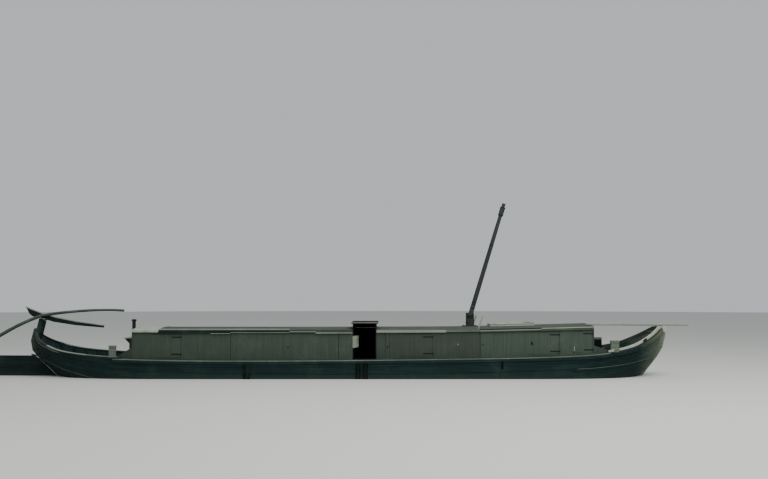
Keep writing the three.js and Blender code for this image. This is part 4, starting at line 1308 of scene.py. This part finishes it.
def makeBeam(look):
    # the long bent beam: a spar that tapers to its fore end, cut square at the blade
    rows = [Vector((x, 0, z)) for x, z in look["beam"]]
    fine = [along(rows, t) for t in spread(0, 1, 200)]
    marks = measure(fine)
    inner = -look["half"] - 0.0003

    def bend(co):
        u = co.x / 2 + 0.5
        point, step = pointAt(fine, marks, u * marks[-1])
        step.normalize()
        size = 0.063 - 0.022 * u
        return Vector((point.x - step.z * co.z * size, inner - 0.0525 + co.y * 0.052,
                       point.z + step.x * co.z * size))

    def lengthwise(part):
        return [e for e in part.edges if abs(e.verts[0].co.x - e.verts[1].co.x) > 1]

    bm, part, iron = startBoards(), startBoards(), startBoards()
    bmesh.ops.create_cube(part, size=2.0)
    easeEdges(part, lengthwise(part), 0.45, 3)
    bmesh.ops.subdivide_edges(part, edges=lengthwise(part), cuts=60)
    # the top of the spar is toned paler: hand wear, and painted highlight on its lit top
    joinInto(bm, part, lambda co: look["beamWearAndHighlight"] if co.z > 0.5 else 1.0, bend)
    finishPiece("steering_beam_spar", bm, "agedOak", "rudder", "weathered_timber", ["steering_beam"], True)
    y = -look["half"] - 0.118
    (x0, z0), (x1, z1) = look["beamIron"]
    addPlate(iron, (x0, y + 0.005, z0), (x1, y + 0.011, z1), 0.003)
    for x, z in look["beamBolts"]:
        addRod(iron, (x, y + 0.004, z), (x, inner, z), 0.014)
    finishPiece("steering_beam_bolts", iron, "forgedIron", "rudder")
    print("steering beam built")


# The bands' height and radius. The tabernacle's cheeks: their face, fore and aft edges, the heights of the
# strap across them and of those down their edges.
mastLook = dict(lean=17.2, pin=(4.21, 0, 2.64), cheek=0.145, edges=(4.1, 4.32), across=(2.58, 2.7),
                down=(2.3, 2.76), boltsX=(3.99, 4.4), boltsY=0.15,
                bands=((0.44, 0.081), (0.52, 0.081), (2.6, 0.074), (3.7, 0.0905), (3.98, 0.0905)))


def makeMastIrons(look):
    # bands on the spar, drawn upright and then leant with it, and the irons of the tabernacle
    lean = Matrix.Rotation(math.radians(look["lean"]), 3, "Y")
    pin = Vector(look["pin"])

    def place(co):
        return lean @ co + pin

    bands, iron = startBoards(), startBoards()
    for z, radius in look["bands"]:
        addRod(bands, (0, 0, z - 0.02), (0, 0, z + 0.02), radius, place, 24)
    for z in (-0.2, 0.3):
        addPlate(bands, (-0.079, -0.079, z - 0.025), (0.079, 0.079, z + 0.025), 0.004, place)
    finishPiece("mast_irons", bands, "forgedIron", "mast")

    (x, _, z), (aft, fore) = look["pin"], look["edges"]
    (low, high), (foot, head) = look["across"], look["down"]
    for side in sideNames:
        y0, y1 = sideSpan(side, look["cheek"] - 0.001, look["cheek"] + 0.008)
        addPlate(iron, (aft, y0, low), (fore, y1, high), 0.003)
        addRod(iron, (x, side * 0.14, z), (x, side * 0.172, z), 0.032, None, 6)
        for edge in (aft, fore):
            addPlate(iron, (edge - 0.015, y0, foot), (edge + 0.015, y1, head), 0.002)
    top = wallTopAt(x) + 0.185
    for bolt in look["boltsX"]:
        for y in (-look["boltsY"], look["boltsY"]):
            addRod(iron, (bolt, y, top - 0.004), (bolt, y, top + 0.012), 0.018, None, 6)
    finishPiece("tabernacle_irons", iron, "forgedIron")
    print("mast and tabernacle irons fitted")


makeRudder(rudderLook)
makeTiller(rudderLook)
makeBeam(rudderLook)
makeMastIrons(mastLook)

# Fenders, stem head and fairleads

# x, width and foot of three fenders and a skid batten, then the heights of the fenders' bolts
fenderLook = dict(timbers=((-3.33, 0.23, 0.425), (0.365, 0.165, 0.425), (0.605, 0.165, 0.425),
                           (5.14, 0.06, 0.95)), bolts=(0.8, 1.02))


def fenderFace(x, z):
    # how far out the hull's side is at a fender
    t = stationOf(railRows, x)
    rail, chine = along(railRows, t), along(chineRows, t)
    return chine.y + (rail.y - chine.y) * (z - chine.z) / (rail.z - chine.z)


def makeFenders(look):
    def lay(bms):
        for x, width, foot in look["timbers"]:
            def bend(co):
                return Vector((co.x, fenderFace(x, co.z) + co.y, co.z))

            for half in (-1, 1):
                x0, x1 = sorted((x, x + half * (width / 2 + 0.004)))
                top = railAt(x).z - 0.079
                addBoard(bms["fenders"], (x0 + 0.001, 0.0, foot), (x1 - 0.001, 0.062, top), 0.008, 2, bend,
                         0.1, 2)
        for x, _, _ in look["timbers"][:3]:
            for z in look["bolts"]:
                y = fenderFace(x, z)
                addRod(bms["fender_bolts"], (x, y + 0.05, z), (x, y + 0.0655, z), 0.016, None, 8)

    layBothSides(71, dict(fenders=dict(finish="pitchBlackPoplar", slotName="tarred_planking"),
                          fender_bolts=dict(finish="forgedIron")), lay)


# Profiles in x and z: the cap's cheek and front, the stem's fore edge. hook: from x, to x, wide, narrow
# and rise.
stemLook = dict(cheek=((10.93, 2.1), (11.003, 2.08), (11.016, 2.325), (10.86, 2.325)),
                front=((11.003, 2.07), (11.022, 2.07), (11.03, 2.318), (11.01, 2.318)),
                edge=((10.13, 0.5625), (10.68, 1.25), (10.88, 1.57), (10.99, 1.96), (11.004, 2.08)),
                half=0.0625, hook=(10.44, 10.8, 0.36, 0.062, 0.22))


def makeStemHead(look):
    # a whitewashed cap over the stem's head, a band rubbed bare down its fore edge, and the knee behind it
    cap, band, knee = startBoards(), startBoards(), startBoards()
    for side in sideNames:
        addProfile(cap, look["cheek"], *sideSpan(side, 0.0595, 0.075), 0.004)
    addProfile(cap, look["front"], -0.06, 0.06, 0.004)
    finishPiece("stem_head_cap", cap, "freshLimeWash")
    for (x0, z0), (x1, z1) in pairs(look["edge"]):
        step = Vector((x1 - x0, 0, z1 - z0)).normalized()
        offsets = ((x0, z0, 0.004), (x1, z1, 0.004), (x1, z1, -0.018), (x0, z0, -0.018))
        strip = [(x + step.z * out, z - step.x * out) for x, z, out in offsets]
        addProfile(band, strip, -look["half"], look["half"], 0.002)
    finishPiece("stem_band", band, "scrapedAsh")
    aft, fore, wide, narrow, rise = look["hook"]

    def taper(co):
        reach = wide + (narrow - wide) * (co.x - aft) / (fore - aft)
        return Vector((co.x, co.y * reach, co.z + rise * (co.x - aft)))

    addBoard(knee, (aft, -1, 2.06), (fore, 1, 2.11), 0.01, 0, taper, 0.03)
    finishPiece("breasthook", knee, "agedOak", slotName="weathered_timber")


def makeFairleads(x, high, radius):
    # iron-bound openings through the bow bulwarks
    t = stationOf(railRows, x)
    rail, out = along(railRows, t), outwards(railRows, t)
    turn = math.atan2(out.x, out.y)

    def oval(co):
        far = co.x * 2.2
        return Vector((rail.x + far * math.cos(turn) + co.y * math.sin(turn),
                       rail.y - far * math.sin(turn) + co.y * math.cos(turn), rail.z + co.z + 0.42 * far))

    def lay(bms):
        addRing(bms["fairlead"], (0, 0.004, high), radius, 0.009, oval)
        addRod(bms["fairlead"], (0, -0.005, high), (0, 0.0035, high), radius - 0.003, oval, 20)

    layBothSides(73, dict(fairlead=dict(finish="forgedIron")), lay)


makeFenders(fenderLook)
makeStemHead(stemLook)
makeFairleads(10.05, 0.1, 0.035)
print("fenders, stem head and fairleads fitted")

# Finishes of the CAD parts that show as they are, by how their names begin. The others are iron.

nodeFinish = dict(
    hull_side="tarredOak", bottom_planking="tarredOak", stem_post="weatheredOak", stern_post="tarredOak",
    bow_strake="tarredOak", stern_floor="scrubbedDeckPine", bow_floor="scrubbedDeckPine",
    house_="oilPaintedPine", roof="pitchedRoofPine", tabernacle="oiledSparPine", mast="oiledSparPine",
    rudder_blade="tarredElm", quant_pole="scrapedAsh",
)
for name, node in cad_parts.items():
    found = [solid[finish] for start, finish in nodeFinish.items() if name.startswith(start)]
    node.data.materials.clear()
    node.data.materials.append(found[0] if found else materials["forgedIron"])
print("CAD parts finished")

# Stage, light and camera

stageLook = dict(waterLevel=0.6, floorRadius=140.0, floorColour="#c9cac4", sky="#dfe3e6", skyStrength=0.75,
                 lampPower=9000, lampSize=26.0, lampPlace=(9.0, -17.0, 24.0), lampAim=(0.0, 0.0, 1.0))
cameraLook = dict(place=(1.22, -32.5, 3.35), tilt=3.48, lens=43.59, sensor=36.0, farthest=600.0)


def link(name, data):
    thing = bpy.data.objects.new(name, data)
    bpy.context.scene.collection.objects.link(thing)
    return thing


def makeFloor(look):
    # the floor lies at the waterline, with a hole that follows the hull a little inside its planking
    bm = bmesh.new()
    bmesh.ops.create_circle(bm, segments=96, radius=look["floorRadius"])
    rim = [hullAt(t, look["waterLevel"], -0.03) for t in spread(0.035, 0.965, 60)]
    outline = [Vector((p.x, p.y, 0)) for p in rim] + [Vector((p.x, -p.y, 0)) for p in reversed(rim)]
    verts = [bm.verts.new(point) for point in outline]
    for edge in zip(verts, verts[1:] + verts[:1]):
        bm.edges.new(edge)
    bmesh.ops.triangle_fill(bm, use_beauty=True, edges=bm.edges[:], normal=(0, 0, 1))
    bmesh.ops.translate(bm, verts=bm.verts[:], vec=(0, 0, look["waterLevel"]))
    mesh = bpy.data.meshes.new("floor")
    bm.to_mesh(mesh)
    bm.free()
    material = bpy.data.materials.new("paleStudioFloor")
    material.use_nodes = True
    shader = material.node_tree.nodes["Principled BSDF"]
    shader.inputs["Base Color"].default_value = toLinear(look["floorColour"])
    shader.inputs["Roughness"].default_value = 0.9
    mesh.materials.append(material)
    link("floor", mesh)


def makeLight(look):
    world = bpy.data.worlds.new("softStudio")
    world.use_nodes = True
    background = world.node_tree.nodes["Background"]
    background.inputs["Color"].default_value = toLinear(look["sky"])
    background.inputs["Strength"].default_value = look["skyStrength"]
    bpy.context.scene.world = world
    lamp = bpy.data.lights.new("overheadSoftbox", "AREA")
    lamp.energy = look["lampPower"]
    lamp.size = look["lampSize"]
    holder = link("overheadSoftbox", lamp)
    holder.location = look["lampPlace"]
    aim = Vector(look["lampAim"]) - Vector(look["lampPlace"])
    holder.rotation_euler = aim.to_track_quat("-Z", "Y").to_euler()


def makeCamera(look):
    camera = bpy.data.cameras.new("photoCamera")
    camera.lens = look["lens"]
    camera.sensor_width = look["sensor"]
    camera.clip_end = look["farthest"]
    holder = link("photoCamera", camera)
    holder.location = look["place"]
    holder.rotation_euler = (math.radians(90 + look["tilt"]), 0, 0)
    bpy.context.scene.camera = holder


makeFloor(stageLook)
makeLight(stageLook)
makeCamera(cameraLook)
print("stage, light and camera ready")
